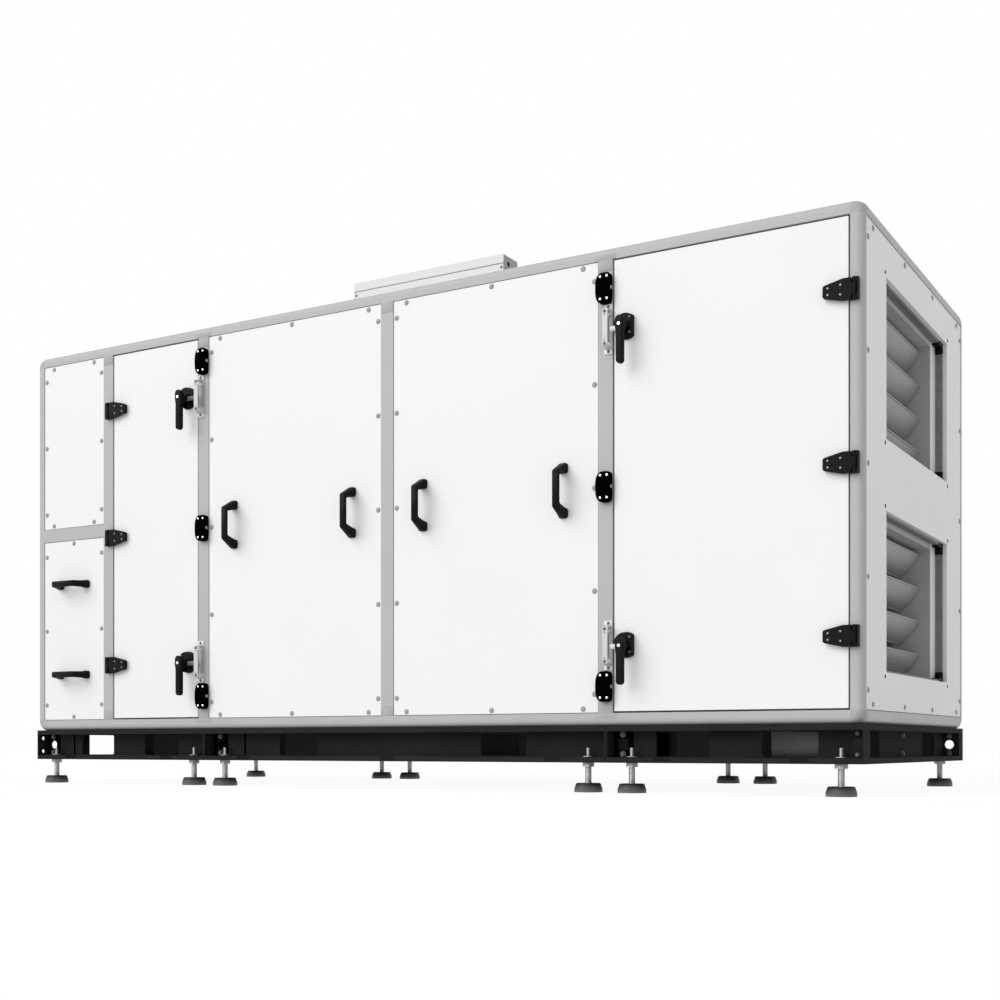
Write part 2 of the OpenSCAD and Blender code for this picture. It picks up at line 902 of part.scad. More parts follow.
// black plate over the joint of two sections: round corners, left edge bulged
module joint_plate() {
  corner = 11;
  bulge = 180;
  rotate([90, 0, 0]) linear_extrude(joint_plate_t) intersection() {
    translate([bulge - post_w / 2, 0]) circle(bulge, $fn = 256);
    rounded(post_w, joint_plate_h, corner);
  }
}

module section_joint_plates() {
  color(black) {
    for (x = split_x) {
      for (z = joint_plate_levels) {
        translate([x, y_front, z]) joint_plate();
      }
    }
  }
}

// bridge handle, upright, feet on the panel face at y = recess
module handle() {
  l = handle_l / 2;
  lean = 30;
  foot = 33;
  foot_t = 12;
  bar = 14;
  inner = l - foot;
  grip = l - foot - 12;
  translate([-handle_w / 2, recess, 0]) rotate([90, 0, 90]) linear_extrude(handle_w) difference() {
    polygon([
      [0, -l], [-foot_t, -l], [-handle_proud, lean - l],
      [-handle_proud, l - lean], [-foot_t, l], [0, l]
    ]);
    polygon([
      [eps, -inner], [-foot_t, -inner], [bar - handle_proud, -grip],
      [bar - handle_proud, grip], [-foot_t, inner], [eps, inner]
    ]);
  }
}

module panel_handles() {
  column_x = bay_0 + left_column_w / 2;
  column_low = z_bot + edge_w;
  column_h = mid_rail_z - post_w / 2 - edge_w;
  color(black) {
    for (x0 = [bay_2, bay_3]) {
      for (x = [x0 + handle_in, x0 + service_w - handle_in]) {
        translate([x, y_front, z_mid]) handle();
      }
    }
    for (k = [0.25, 0.75]) {
      translate([column_x, y_front, column_low + k * column_h]) rotate([0, 90, 0]) handle();
    }
  }
}

// ring that lines a duct opening in the right end
module duct_frame(s) {
  w = duct_w / 2;
  h = duct_h / 2;
  zc = z_mid + s * duct_z;
  t = duct_ring_t;
  difference() {
    span(hx - seat, hx - duct_ring_in, y_mid - w, y_mid + w, zc - h, zc + h);
    span(hx - seat - eps, hx, y_mid - w + t, y_mid + w - t, zc - h + t, zc + h - t);
  }
}

module duct_frames() {
  color(black) {
    for (s = [-1, 1]) {
      duct_frame(s);
      mirror([1, 0, 0]) duct_frame(s);
    }
  }
}

// damper frame behind a duct opening: flange ring, sleeve and axle bores
module damper_frame(s) {
  w = duct_w + 2 * flange_lap;
  h = duct_h + 2 * flange_lap;
  ring_z = z_mid + s * duct_z;
  zc = ring_z - damper_drop;
  x1 = hx - seat;
  x0 = x1 - sleeve_d;
  in_w = damper_w / 2;
  in_h = damper_h / 2;
  sw = in_w + damper_side;
  sh = in_h + damper_top;
  difference() {
    union() {
      span(x1 - flange_t, x1, y_mid - w / 2, y_mid + w / 2, ring_z - h / 2, ring_z + h / 2);
      span(x0, x1, y_mid - sw, y_mid + sw, zc - sh, zc + sh);
    }
    span(x0 - eps, x1 + eps, y_mid - in_w, y_mid + in_w, zc - in_h, zc + in_h);
    for (i = [1:blade_n]) {
      translate([axle_x, y_mid, blade_z(s, i)]) rotate([90, 0, 0])
        cylinder(r = axle_r + bore_gap, h = 2 * sw + 2 * eps, center = true);
    }
  }
}

// height of blade i, counted from the top, of the upper or lower damper
function blade_z(s, i) = z_mid + s * duct_z - damper_drop + damper_h / 2 - (i - 0.5) * blade_pitch;

module damper_frames() {
  color(galvanised) {
    damper_frame(1);
    damper_frame(-1);
  }
}

// section of a blade: a lens with a bead along both edges
module blade_section() {
  off = blade_curve - blade_t / 2;
  bead = blade_c / 2 - bead_r;
  intersection() {
    translate([off, 0]) circle(blade_curve, $fn = 180);
    translate([-off, 0]) circle(blade_curve, $fn = 180);
  }
  for (y = [-bead, bead]) {
    translate([0, y]) circle(bead_r);
  }
}

// blade with its axle
module blade(s, i) {
  len = damper_w - 2 * blade_gap;
  translate([axle_x, y_mid, blade_z(s, i)]) rotate([0, blade_open, 0]) rotate([90, 0, 0]) {
    linear_extrude(len, center = true) blade_section();
    cylinder(r = axle_r, h = damper_w + 2 * damper_side, center = true);
  }
}

module upper_blade_1() {
  color(steel) blade(1, 1);
}

module upper_blade_2() {
  color(steel) blade(1, 2);
}

module upper_blade_3() {
  color(steel) blade(1, 3);
}

module upper_blade_4() {
  color(steel) blade(1, 4);
}

module lower_blade_1() {
  color(steel) blade(-1, 1);
}

module lower_blade_2() {
  color(steel) blade(-1, 2);
}

module lower_blade_3() {
  color(steel) blade(-1, 3);
}

module lower_blade_4() {
  color(steel) blade(-1, 4);
}

// cable box on the roof of the middle section
module roof_box() {
  y0 = y_front + roof_box_in;
  color(painted_white) span(
    roof_box_x - roof_box_l / 2, roof_box_x + roof_box_l / 2, y0, y0 + roof_box_d,
    roof_z, roof_z + roof_box_h - roof_lid_h
  );
}

module roof_box_lid() {
  y0 = y_front + roof_box_in;
  lap = 2;
  color(painted_white) span(
    roof_box_x - roof_box_l / 2 - lap, roof_box_x + roof_box_l / 2 + lap, y0 - lap, y0 + roof_box_d + lap,
    roof_z + roof_box_h - roof_lid_h, roof_z + roof_box_h
  );
}

base_side_beams();
base_cross_beams();
foot_pads();
foot_studs();
frame_rails();
corner_posts();
frame_corners();
front_posts();
rear_posts();
left_mid_rail();
cross_rails();
upper_left_panel();
lower_left_panel();
service_panel_1();
service_panel_2();
rear_panels();
roof_panels();
floor_panels();
left_end_panel();
right_end_panel();
left_door_panel();
right_door_panel();
hinge_post_leaves();
left_door_leaves();
right_door_leaves();
left_lever_bases();
right_lever_bases();
left_lever_low();
left_lever_high();
right_lever_low();
right_lever_high();
left_roller_low();
left_roller_high();
right_roller_low();
right_roller_high();
latch_strikes();
section_joint_plates();
panel_handles();
duct_frames();
damper_frames();
upper_blade_1();
upper_blade_2();
upper_blade_3();
upper_blade_4();
lower_blade_1();
lower_blade_2();
lower_blade_3();
lower_blade_4();
roof_box();
roof_box_lid();
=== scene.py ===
"""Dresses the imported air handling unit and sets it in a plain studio.

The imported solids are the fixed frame. This script gives each of them its finish, adds the screw caps, screws,
bolts, seals and small fittings that are too fine for the solids, gives some fittings a finer form, and makes
the floor, the light and the camera. Everything is in metres, in the frame of the solids: x along the front,
y to the rear, z up.
"""

import logging
import math
from dataclasses import dataclass, field
from enum import Enum
from itertools import product
from typing import Iterable, Sequence

import bmesh
import bpy
from mathutils import Matrix, Vector


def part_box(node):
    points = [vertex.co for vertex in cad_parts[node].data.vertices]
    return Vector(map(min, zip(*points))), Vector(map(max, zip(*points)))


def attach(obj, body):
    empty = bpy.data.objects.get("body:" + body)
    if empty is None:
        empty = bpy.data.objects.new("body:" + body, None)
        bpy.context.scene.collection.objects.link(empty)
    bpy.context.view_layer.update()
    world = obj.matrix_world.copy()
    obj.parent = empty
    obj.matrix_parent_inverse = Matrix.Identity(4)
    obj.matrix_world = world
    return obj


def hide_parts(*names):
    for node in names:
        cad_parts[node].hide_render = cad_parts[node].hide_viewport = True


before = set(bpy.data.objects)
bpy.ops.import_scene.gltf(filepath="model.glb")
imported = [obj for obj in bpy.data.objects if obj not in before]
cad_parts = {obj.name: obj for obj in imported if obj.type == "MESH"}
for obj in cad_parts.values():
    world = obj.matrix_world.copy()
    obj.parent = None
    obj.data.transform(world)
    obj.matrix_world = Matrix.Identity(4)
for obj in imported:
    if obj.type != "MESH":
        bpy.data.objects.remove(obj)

LOG = logging.getLogger("air_handler")
MM = 0.001
CASING = "casing"
FRONT_FACE = -626.0 * MM
BOTH = (-1.0, 1.0)
Colour = tuple[float, float, float]
Pair = tuple[float, float]
Sizes = tuple[float, ...]
Outline = list[Pair]
Box = tuple[Vector, Vector]
Mesh = bpy.types.Mesh
Socket = bpy.types.NodeSocket
Tree = bpy.types.NodeTree


class Facing(Enum):
    """The way that a fastener's head points."""

    FRONT = (0.0, -1.0, 0.0)
    REAR = (0.0, 1.0, 0.0)
    RIGHT = (1.0, 0.0, 0.0)
    LEFT = (-1.0, 0.0, 0.0)
    UP = (0.0, 0.0, 1.0)


class Relief(Enum):
    """The fine relief that a finish carries."""

    PEEL = "paint_peel"
    SPANGLE = "zinc_spangle"
    THREAD = "rolled_thread"


class Head(Enum):
    """The kinds of fastener head."""

    CAP = "screw_cap"
    SOCKET = "socket_screw"
    CROSS = "cross_screw"
    HEX = "hex_bolt"
    PLUG = "blind_plug"


class Side(Enum):
    """The two doors, by the direction from the hinges to the levers."""

    LEFT = 1.0
    RIGHT = -1.0


@dataclass(frozen=True)
class Spot:
    """Where a fastener sits and which way its head points."""

    x: float
    y: float
    z: float
    facing: Facing


@dataclass(frozen=True)
class Finish:
    """One surface finish. Its depth is in metres, and its scales are in features per metre."""

    name: str
    colour: Colour
    roughness: float
    metallic: float = 0.0
    specular: float = 0.5
    wander: float = 0.02
    wander_scale: float = 2.5
    relief: Relief = Relief.PEEL
    relief_scale: float = 600.0
    relief_depth: float = 0.00003
    stretch: Colour = (1.0, 1.0, 1.0)
    dust: float = 0.0
    scuff: float = 0.0
    # Painted light: how far the colour greys towards the floor, standing in for the light that the floor throws
    # up.
    splash: float = 0.0


WHITE_PAINT = Finish("white_panel_paint", (0.86, 0.862, 0.855), 0.42, specular=0.3, wander=0.010, dust=0.05)
BOX_PAINT = Finish("white_box_paint", (0.72, 0.722, 0.718), 0.45, specular=0.25, wander=0.012,
    wander_scale=5.0)
FRAME_METAL = Finish("grey_frame_profile", (0.452, 0.46, 0.462), 0.40, specular=0.3, wander=0.025,
    wander_scale=6.0, relief_scale=1100.0, dust=0.06)
CAP_PLASTIC = Finish("grey_cap_plastic", (0.34, 0.345, 0.35), 0.45, specular=0.3, wander=0.05,
    wander_scale=40.0, relief_scale=1500.0, relief_depth=0.00002)
CONNECTOR = Finish("grey_connector_plastic", (0.405, 0.41, 0.414), 0.5, specular=0.25, wander=0.04,
    wander_scale=20.0, relief_scale=1500.0)
BLACK_MOULDING = Finish("black_moulded_plastic", (0.0052, 0.0054, 0.0057), 0.45, specular=0.08, wander=0.12,
    wander_scale=30.0, relief_scale=1800.0, relief_depth=0.00005, dust=0.02, scuff=0.06)
PLATE_BLACK = Finish("black_joint_plate", (0.0012, 0.0012, 0.0013), 0.6, specular=0.0, wander=0.12,
    wander_scale=30.0, relief_scale=1500.0, relief_depth=0.00004)
BASE_PAINT = Finish("black_base_paint", (0.023, 0.0232, 0.0236), 0.65, specular=0.02, wander=0.14,
    wander_scale=5.0, relief_scale=900.0, relief_depth=0.00005, dust=0.03, scuff=0.10)
BRIGHT_STEEL = Finish("bright_steel", (0.86, 0.865, 0.87), 0.26, metallic=1.0, wander=0.03, wander_scale=25.0,
    relief_scale=700.0, relief_depth=0.00001, stretch=(1.0, 1.0, 0.05))
STRIKE_STEEL = Finish("satin_strike_steel", (0.58, 0.585, 0.59), 0.5, metallic=0.1, wander=0.06,
    wander_scale=40.0, relief_scale=700.0, relief_depth=0.00002, stretch=(1.0, 1.0, 0.05))
DULL_STEEL = Finish("dull_screw_steel", (0.34, 0.345, 0.35), 0.36, metallic=0.9, wander=0.06,
    wander_scale=60.0, relief_scale=1500.0, relief_depth=0.00001)
BOLT_STEEL = Finish("dull_bolt_zinc", (0.17, 0.172, 0.175), 0.5, specular=0.3, wander=0.12, wander_scale=80.0,
    relief_scale=1200.0)
RING_METAL = Finish("dark_zinc_ring", (0.18, 0.182, 0.185), 0.5, metallic=0.2, wander=0.16, wander_scale=26.0,
    relief=Relief.SPANGLE, relief_scale=90.0)
FLANGE_FACE = Finish("bright_flange_zinc", (0.80, 0.805, 0.81), 0.5, specular=0.3, wander=0.03,
    wander_scale=8.0)
ZINC = Finish("galvanised_sheet", (0.46, 0.465, 0.47), 0.5, specular=0.2, wander=0.04, wander_scale=8.0,
    relief=Relief.SPANGLE, relief_scale=70.0, relief_depth=0.00002)
BLADE_METAL = Finish("drawn_blade_aluminium", (0.33, 0.334, 0.338), 0.45, metallic=0.2, wander=0.03,
    wander_scale=6.0, relief_scale=900.0, relief_depth=0.00002, stretch=(1.0, 0.01, 1.0))
# The pads' colour greys towards the floor: painted light from the floor below them.
RUBBER = Finish("foot_rubber_black", (0.010, 0.010, 0.0105), 0.45, specular=0.25, wander=0.2,
    wander_scale=40.0, relief_scale=1200.0, relief_depth=0.00008, splash=0.36)
SEAL_RUBBER = Finish("black_seal_rubber", (0.012, 0.012, 0.012), 0.75, specular=0.15, wander=0.15,
    wander_scale=30.0, relief_scale=1500.0, relief_depth=0.00005)
STUD_STEEL = Finish("zinc_plated_stud", (0.34, 0.343, 0.34), 0.36, metallic=0.9, wander=0.05,
    wander_scale=40.0, relief=Relief.THREAD, relief_scale=500.0, relief_depth=0.0006)
BOX_END = Finish("grey_box_end", (0.34, 0.345, 0.35), 0.5, specular=0.25, wander=0.03, wander_scale=12.0)


@dataclass(frozen=True)
class Fastener:
    """One kind of fastener, with its head's radius and height in millimetres."""

    head: Head
    radius: float
    height: float
    finish: Finish
    slot: str = "bright_steel"


PANEL_CAP = Fastener(Head.CAP, 9.0, 3.6, CAP_PLASTIC, "frame_grey")
HINGE_SCREW = Fastener(Head.SOCKET, 3.6, 2.4, DULL_STEEL)
LEVER_SCREW = Fastener(Head.SOCKET, 4.4, 2.5, BOLT_STEEL)
HUB_CAP = Fastener(Head.PLUG, 5.8, 2.5, BRIGHT_STEEL)
PLATE_SCREW = Fastener(Head.CROSS, 4.4, 2.6, BRIGHT_STEEL)
EDGE_SCREW = Fastener(Head.CROSS, 6.6, 2.5, DULL_STEEL)
STRIKE_SCREW = Fastener(Head.SOCKET, 5.4, 2.4, BOLT_STEEL)
STRIKE_RIVET = Fastener(Head.PLUG, 2.2, 0.8, BOLT_STEEL)
RIVET_NUT = Fastener(Head.SOCKET, 6.5, 1.0, BLACK_MOULDING, "black_plastic")
HOLE_PLUG = Fastener(Head.PLUG, 17.5, 1.5, BASE_PAINT, "black_paint")
BASE_BOLT = Fastener(Head.HEX, 8.0, 7.0, BOLT_STEEL)
END_BOLT = Fastener(Head.HEX, 5.0, 4.0, BOLT_STEEL)
GROMMET = Fastener(Head.SOCKET, 8.0, 2.0, BLACK_MOULDING, "black_plastic")
BOX_SCREW = Fastener(Head.SOCKET, 4.4, 2.0, BOLT_STEEL)


def metres(*values: float) -> Sizes:
    """Turns millimetres into metres."""
    return tuple(value * MM for value in values)


def block(*spans: Sequence[float]) -> Box:
    """Gives a box's lowest and highest corner from its two ends along x, y and z, in any order."""
    low, high = zip(*(sorted(span) for span in spans))
    return Vector(low), Vector(high)


def squared(value: float, power: float) -> float:
    """Bends a sine or cosine so that a circle becomes a rounded rectangle."""
    return math.copysign(abs(value) ** power, value)


class NodeDesk:
    """Short cuts for laying out one node tree."""

    def __init__(self, tree: Tree) -> None:
        """Keeps the tree that nodes are laid in."""
        self.tree = tree

    @classmethod
    def blank(cls, owner: bpy.types.Material | bpy.types.World) -> "NodeDesk":
        """Empties the node tree of a material or a world.

        Args:
            owner: The material or the world.

        Returns:
            A desk on its empty tree.
        """
        owner.use_nodes = True
        owner.node_tree.nodes.clear()
        return cls(owner.node_tree)

    def lay(
        self, kind: str, inputs: dict[str | int, object] | None = None, **settings: object
    ) -> bpy.types.Node:
        """Lays one node.

        Args:
            kind: The node's type name.
            inputs: Sockets to link or plain values to set, by the input's name or place.
            settings: Properties to set on the node.

        Returns:
            The new node.
        """
        node = self.tree.nodes.new(kind)
        for key, value in settings.items():
            setattr(node, key, value)
        for place, value in (inputs or {}).items():
            if isinstance(value, Socket):
                self.tree.links.new(value, node.inputs[place])
            else:
                node.inputs[place].default_value = value
        return node

    def math(self, operation: str, first: object, second: object) -> Socket:
        """Lays a Math node on two sockets or numbers, and gives its output."""
        return self.lay("ShaderNodeMath", {0: first, 1: second}, operation=operation).outputs[0]


class GroupDesk(NodeDesk):
    """A node group with named inputs and outputs, whose types follow from their names."""

    TYPES = {
        "Vector": "Vector", "Stretch": "Vector", "Colour": "Color", "Geometry": "Geometry",
        "Finish": "Material", "Head": "Object", "Seed": "Int"}

    def __init__(
        self, name: str, inputs: Sequence[str], outputs: Sequence[str], kind: str = "ShaderNodeTree"
    ) -> None:
        """Makes the group and its sockets.

        Args:
            name: The group's name.
            inputs: The names of its inputs.
            outputs: The names of its outputs.
            kind: The type of node tree.
        """
        super().__init__(bpy.data.node_groups.new(name, kind))
        for way, labels in (("INPUT", inputs), ("OUTPUT", outputs)):
            for label in labels:
                socket = "NodeSocket" + self.TYPES.get(label, "Float")
                self.tree.interface.new_socket(name=label, in_out=way, socket_type=socket)
        self.given = self.lay("NodeGroupInput").outputs

    def tint(self, share: Socket, colour: Colour) -> Socket:
        """Blends the given colour by a share towards another one."""
        inputs = {0: share, 6: self.given["Colour"], 7: (*colour, 1.0)}
        return self.lay("ShaderNodeMix", inputs, data_type="RGBA").outputs[2]

    def end(self, **results: Socket) -> Tree:
        """Links the group's outputs and gives the group."""
        self.lay("NodeGroupOutput", results)
        return self.tree


class TreeDesk(GroupDesk):
    """A Geometry Nodes tree with named inputs that ends in plain, finished faces."""

    def __init__(self, name: str, inputs: Sequence[str]) -> None:
        """Makes the tree, with its inputs between the geometry and the finish."""
        super().__init__(name, ("Geometry", *inputs, "Finish"), ("Geometry",), "GeometryNodeTree")

    def close(self, geometry: Socket) -> None:
        """Realizes the instances of some geometry, sets the material and ends the tree.

        Args:
            geometry: The socket with the geometry.
        """
        real = self.lay("GeometryNodeRealizeInstances", {"Geometry": geometry}).outputs["Geometry"]
        paint = self.lay("GeometryNodeSetMaterial", {"Geometry": real, "Material": self.given["Finish"]})
        self.end(Geometry=paint.outputs["Geometry"])

    def grow(self, name: str, seed: Mesh, values: dict[str, object]) -> Mesh:
        """Runs the tree on a seed mesh.

        Args:
            name: The name of the mesh that comes out.
            seed: The points or edges that the tree works on.
            values: The tree's inputs by name.

        Returns:
            The plain mesh.
        """
        holder = bpy.data.objects.new(name + ".seed", seed)
        bpy.context.scene.collection.objects.link(holder)
        grown = holder.modifiers.new("grow", "NODES")
        grown.node_group = self.tree
        keys = {item.name: item.identifier for item in self.tree.interface.items_tree
                if item.item_type == "SOCKET" and item.in_out == "INPUT"}
        for label, value in values.items():
            grown[keys[label]] = value
        view = bpy.context.evaluated_depsgraph_get()
        mesh = bpy.data.meshes.new_from_object(holder.evaluated_get(view), depsgraph=view)
        mesh.name = name
        holder.modifiers.remove(grown)
        bpy.data.objects.remove(holder)
        return mesh


class Piece:
    """Helpers that make the meshes of pieces."""

    @staticmethod
    def ring(radius: float, height: float, count: int) -> list[Vector]:
        """Gives a level ring of points, counter-clockwise."""
        angles = [step * math.tau / count for step in range(count)]
        return [Vector((radius * math.cos(a), radius * math.sin(a), height)) for a in angles]

    @staticmethod
    def arc(radius: float, start: float, end: float, count: int) -> Outline:
        """Gives points along an arc between two angles in degrees."""
        angles = [math.radians(start + (end - start) * step / (count - 1)) for step in range(count)]
        return [(radius * math.cos(a), radius * math.sin(a)) for a in angles]

    @staticmethod
    def close(work: bmesh.types.BMesh, name: str, sharp: float) -> Mesh:
        """Turns a worked mesh into a smooth-shaded one.

        Args:
            work: The worked mesh, which is used up.
            name: The new mesh's name.
            sharp: The angle in degrees past which an edge stays sharp.

        Returns:
            The plain mesh.
        """
        bmesh.ops.recalc_face_normals(work, faces=work.faces)
        mesh = bpy.data.meshes.new(name)
        work.to_mesh(mesh)
        work.free()
        mesh.shade_smooth()
        mesh.set_sharp_from_angle(angle=math.radians(sharp))
        return mesh

    @staticmethod
    def skin(name: str, stacks: Iterable[Sequence[Sequence[Vector]]], sharp: float = 40.0) -> Mesh:
        """Skins stacks of rings, and closes both ends of each stack.

        Args:
            name: The mesh's name.
            stacks: The stacks, each with rings that have the same number of points.
            sharp: The angle in degrees past which an edge stays sharp.

        Returns:
            One mesh with all the stacks.
        """
        work = bmesh.new()
        for rings in stacks:
            rows = [[work.verts.new(point) for point in ring] for ring in rings]
            count = len(rows[0])
            for low, high in zip(rows, rows[1:]):
                for step in range(count):
                    after = (step + 1) % count
                    work.faces.new((low[step], low[after], high[after], high[step]))
            work.faces.new(list(reversed(rows[0])))
            work.faces.new(rows[-1])
        return Piece.close(work, name, sharp)

    @staticmethod
    def slabs(name: str, boxes: Iterable[Box], soft: float) -> Mesh:
        """Makes plates with softened edges.

        Args:
            name: The mesh's name.
            boxes: The lowest and highest corner of each plate.
            soft: The width of the softened edge.

        Returns:
            One mesh with all the plates.
        """
        work = bmesh.new()
        for low, high in boxes:
            made = bmesh.ops.create_cube(work, size=1.0)["verts"]
            size = Matrix.Diagonal((*(high - low), 1.0))
            bmesh.ops.transform(work, matrix=Matrix.Translation((low + high) / 2) @ size, verts=made)
            edges = list({edge for vert in made for edge in vert.link_edges})
            bmesh.ops.bevel(work, geom=edges, offset=soft, segments=2, affect="EDGES", profile=0.5)
        return Piece.close(work, name, 40.0)


class FinishShop:
    """Makes the shared shader groups once and a material for each finish, and shows finished pieces."""

    RUB_BAND = (0.30, 0.44)
    ROUGH_SPREAD = 0.05
    DUST_TONE = (0.42, 0.41, 0.39)
    # Painted light from the floor: the tone that low parts grey towards, and the height over which it fades.
    PAINTED_FLOOR_LIGHT_TONE = (0.42, 0.41, 0.40)
    PAINTED_FLOOR_LIGHT_H = 26.0 * MM
    RUBBED_TONE = (0.05, 0.05, 0.052)

    def __init__(self) -> None:
        """Builds the shared groups."""
        self.made: dict[str, bpy.types.Material] = {}
        self.wander = self._tone_wander()
        self.scuffs = self._scuff_marks()
        self.dust = self._settled_dust()
        self.splash = self._painted_floor_light_group()
        self.reliefs = {relief: self._relief(relief) for relief in Relief}

    @staticmethod
    def _band(desk: NodeDesk, share: Socket, low: object, high: object, band: Pair = (0.3, 0.7)) -> Socket:
        """Stretches the middle band of a noise over a range, and gives the output."""
        names = ("Value", "From Min", "From Max", "To Min", "To Max")
        return desk.lay("ShaderNodeMapRange", dict(zip(names, (share, *band, low, high)))).outputs["Result"]

    def _tone_wander(self) -> Tree:
        """Builds the group that lets a colour wander slightly over a surface.

        Returns:
            The group, which puts out the colour and the noise behind it.
        """
        desk = GroupDesk("tone_wander", ("Vector", "Colour", "Scale", "Amount"), ("Colour", "Share"))
        given = desk.given
        noise = desk.lay("ShaderNodeTexNoise", {
            "Vector": given["Vector"], "Scale": given["Scale"], "Detail": 4.0})
        share = noise.outputs["Fac"]
        ends = (desk.math(operation, 1.0, given["Amount"]) for operation in ("SUBTRACT", "ADD"))
        spread = self._band(desk, share, *ends)
        tone = desk.lay("ShaderNodeVectorMath", {0: given["Colour"], "Scale": spread}, operation="SCALE")
        return desk.end(Colour=tone.outputs["Vector"], Share=share)

    def _settled_dust(self) -> Tree:
        """Builds the group that lays a little dust on faces that look up.

        Returns:
            The group, which puts out the dusty colour.
        """
        desk = GroupDesk("settled_dust", ("Vector", "Colour", "Amount"), ("Colour",))
        axes = desk.lay("ShaderNodeSeparateXYZ", {0: desk.lay("ShaderNodeNewGeometry").outputs["Normal"]})
        noise = desk.lay("ShaderNodeTexNoise", {"Vector": desk.given["Vector"], "Scale": 9.0, "Detail": 6.0})
        lying = desk.math("MULTIPLY", desk.math("MAXIMUM", axes.outputs["Z"], 0.0), noise.outputs["Fac"])
        return desk.end(Colour=desk.tint(desk.math("MULTIPLY", lying, desk.given["Amount"]), self.DUST_TONE))

    def _painted_floor_light_group(self) -> Tree:
        """Builds the group that paints the light that the floor throws up: it greys a surface towards the floor.

        Returns:
            The group, which puts out the greyed colour.
        """
        desk = GroupDesk("floor_splash", ("Vector", "Colour", "Amount"), ("Colour",))
        axes = desk.lay("ShaderNodeSeparateXYZ", {0: desk.given["Vector"]})
        fade = self._band(desk, axes.outputs["Z"], desk.given["Amount"], 0.0, (0.0, self.PAINTED_FLOOR_LIGHT_H))
        return desk.end(Colour=desk.tint(fade, self.PAINTED_FLOOR_LIGHT_TONE))

    def _scuff_marks(self) -> Tree:
        """Builds the group that puts faint rubbed patches on dark finishes.

        Returns:
            The group, which puts out the rubbed colour.
        """
        desk = GroupDesk("scuff_marks", ("Vector", "Colour", "Amount"), ("Colour",))
        broad, fine = (
            desk.lay("ShaderNodeTexNoise", {"Vector": desk.given["Vector"], "Scale": scale, "Detail": detail})
            for scale, detail in ((14.0, 2.0), (160.0, 5.0)))
        both = desk.math("MULTIPLY", broad.outputs["Fac"], fine.outputs["Fac"])
        cut = self._band(desk, both, 0.0, 1.0, self.RUB_BAND)
        return desk.end(Colour=desk.tint(desk.math("MULTIPLY", cut, desk.given["Amount"]), self.RUBBED_TONE))

    @staticmethod
    def _relief(relief: Relief) -> Tree:
        """Builds the group that gives the height of a relief, drawn out along its stretch.

        Args:
            relief: The kind of relief: fine peel, the crystals of hot-dipped zinc or an upright screw thread.

        Returns:
            The group.
        """
        desk = GroupDesk(relief.value, ("Vector", "Scale", "Stretch"), ("Height",))
        given = desk.given
        drawn = desk.lay(
            "ShaderNodeVectorMath", {0: given["Vector"], 1: given["Stretch"]}, operation="MULTIPLY")
        inputs = {"Vector": drawn.outputs["Vector"], "Scale": given["Scale"]}
        if relief is Relief.PEEL:
            return desk.end(Height=desk.lay("ShaderNodeTexNoise", {**inputs, "Detail": 2.0}).outputs["Fac"])
        if relief is Relief.SPANGLE:
            cells = desk.lay("ShaderNodeTexVoronoi", inputs)
            return desk.end(
                Height=desk.lay("ShaderNodeSeparateColor", {0: cells.outputs["Color"]}).outputs[0])
        axes = desk.lay("ShaderNodeSeparateXYZ", {0: drawn.outputs["Vector"]})
        turns = desk.math("MULTIPLY", axes.outputs["Z"], given["Scale"])
        return desk.end(Height=desk.math("PINGPONG", turns, 0.5))

    def material(self, finish: Finish) -> bpy.types.Material:
        """Makes a finish's material, or finds it again.

        Args:
            finish: The finish.

        Returns:
            Its material.
        """
        if finish.name in self.made:
            return self.made[finish.name]
        made = self.made[finish.name] = bpy.data.materials.new(finish.name)
        desk = NodeDesk.blank(made)
        place = desk.lay("ShaderNodeTexCoord").outputs["Object"]
        inputs = {"Vector": place, "Amount": finish.wander, "Scale": finish.wander_scale}
        tone = desk.lay(
            "ShaderNodeGroup", {**inputs, "Colour": (*finish.colour, 1.0)}, node_tree=self.wander).outputs
        colour = tone["Colour"]
        # Scuffs and dust are wear; the last group paints the floor's light onto the lowest few centimetres.
        for group, amount in (
                (self.scuffs, finish.scuff), (self.dust, finish.dust), (self.splash, finish.splash)):
            if amount:
                inputs = {"Vector": place, "Colour": colour, "Amount": amount}
                colour = desk.lay("ShaderNodeGroup", inputs, node_tree=group).outputs["Colour"]
        spread = self.ROUGH_SPREAD
        gloss = self._band(desk, tone["Share"], finish.roughness - spread, finish.roughness + spread)
        inputs = {"Vector": place, "Scale": finish.relief_scale, "Stretch": finish.stretch}
        height = desk.lay("ShaderNodeGroup", inputs, node_tree=self.reliefs[finish.relief]).outputs["Height"]
        bump = desk.lay("ShaderNodeBump", {
            "Height": height, "Strength": 1.0, "Distance": finish.relief_depth})
        shader = desk.lay("ShaderNodeBsdfPrincipled", {
            "Base Color": colour, "Metallic": finish.metallic, "Specular IOR Level": finish.specular,
            "Roughness": gloss, "Normal": bump.outputs["Normal"]})
        desk.lay("ShaderNodeOutputMaterial", {"Surface": shader.outputs["BSDF"]})
        return made

    def coat(self, finish: Finish, *nodes: str) -> None:
        """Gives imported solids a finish.

        Args:
            finish: The finish.
            nodes: The solids' node names.
        """
        for name in nodes:
            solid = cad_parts[name]
            if not solid.material_slots:
                solid.data.materials.append(None)
            for place in solid.material_slots:
                place.material = self.material(finish)
            LOG.info("coated %s with %s", name, finish.name)

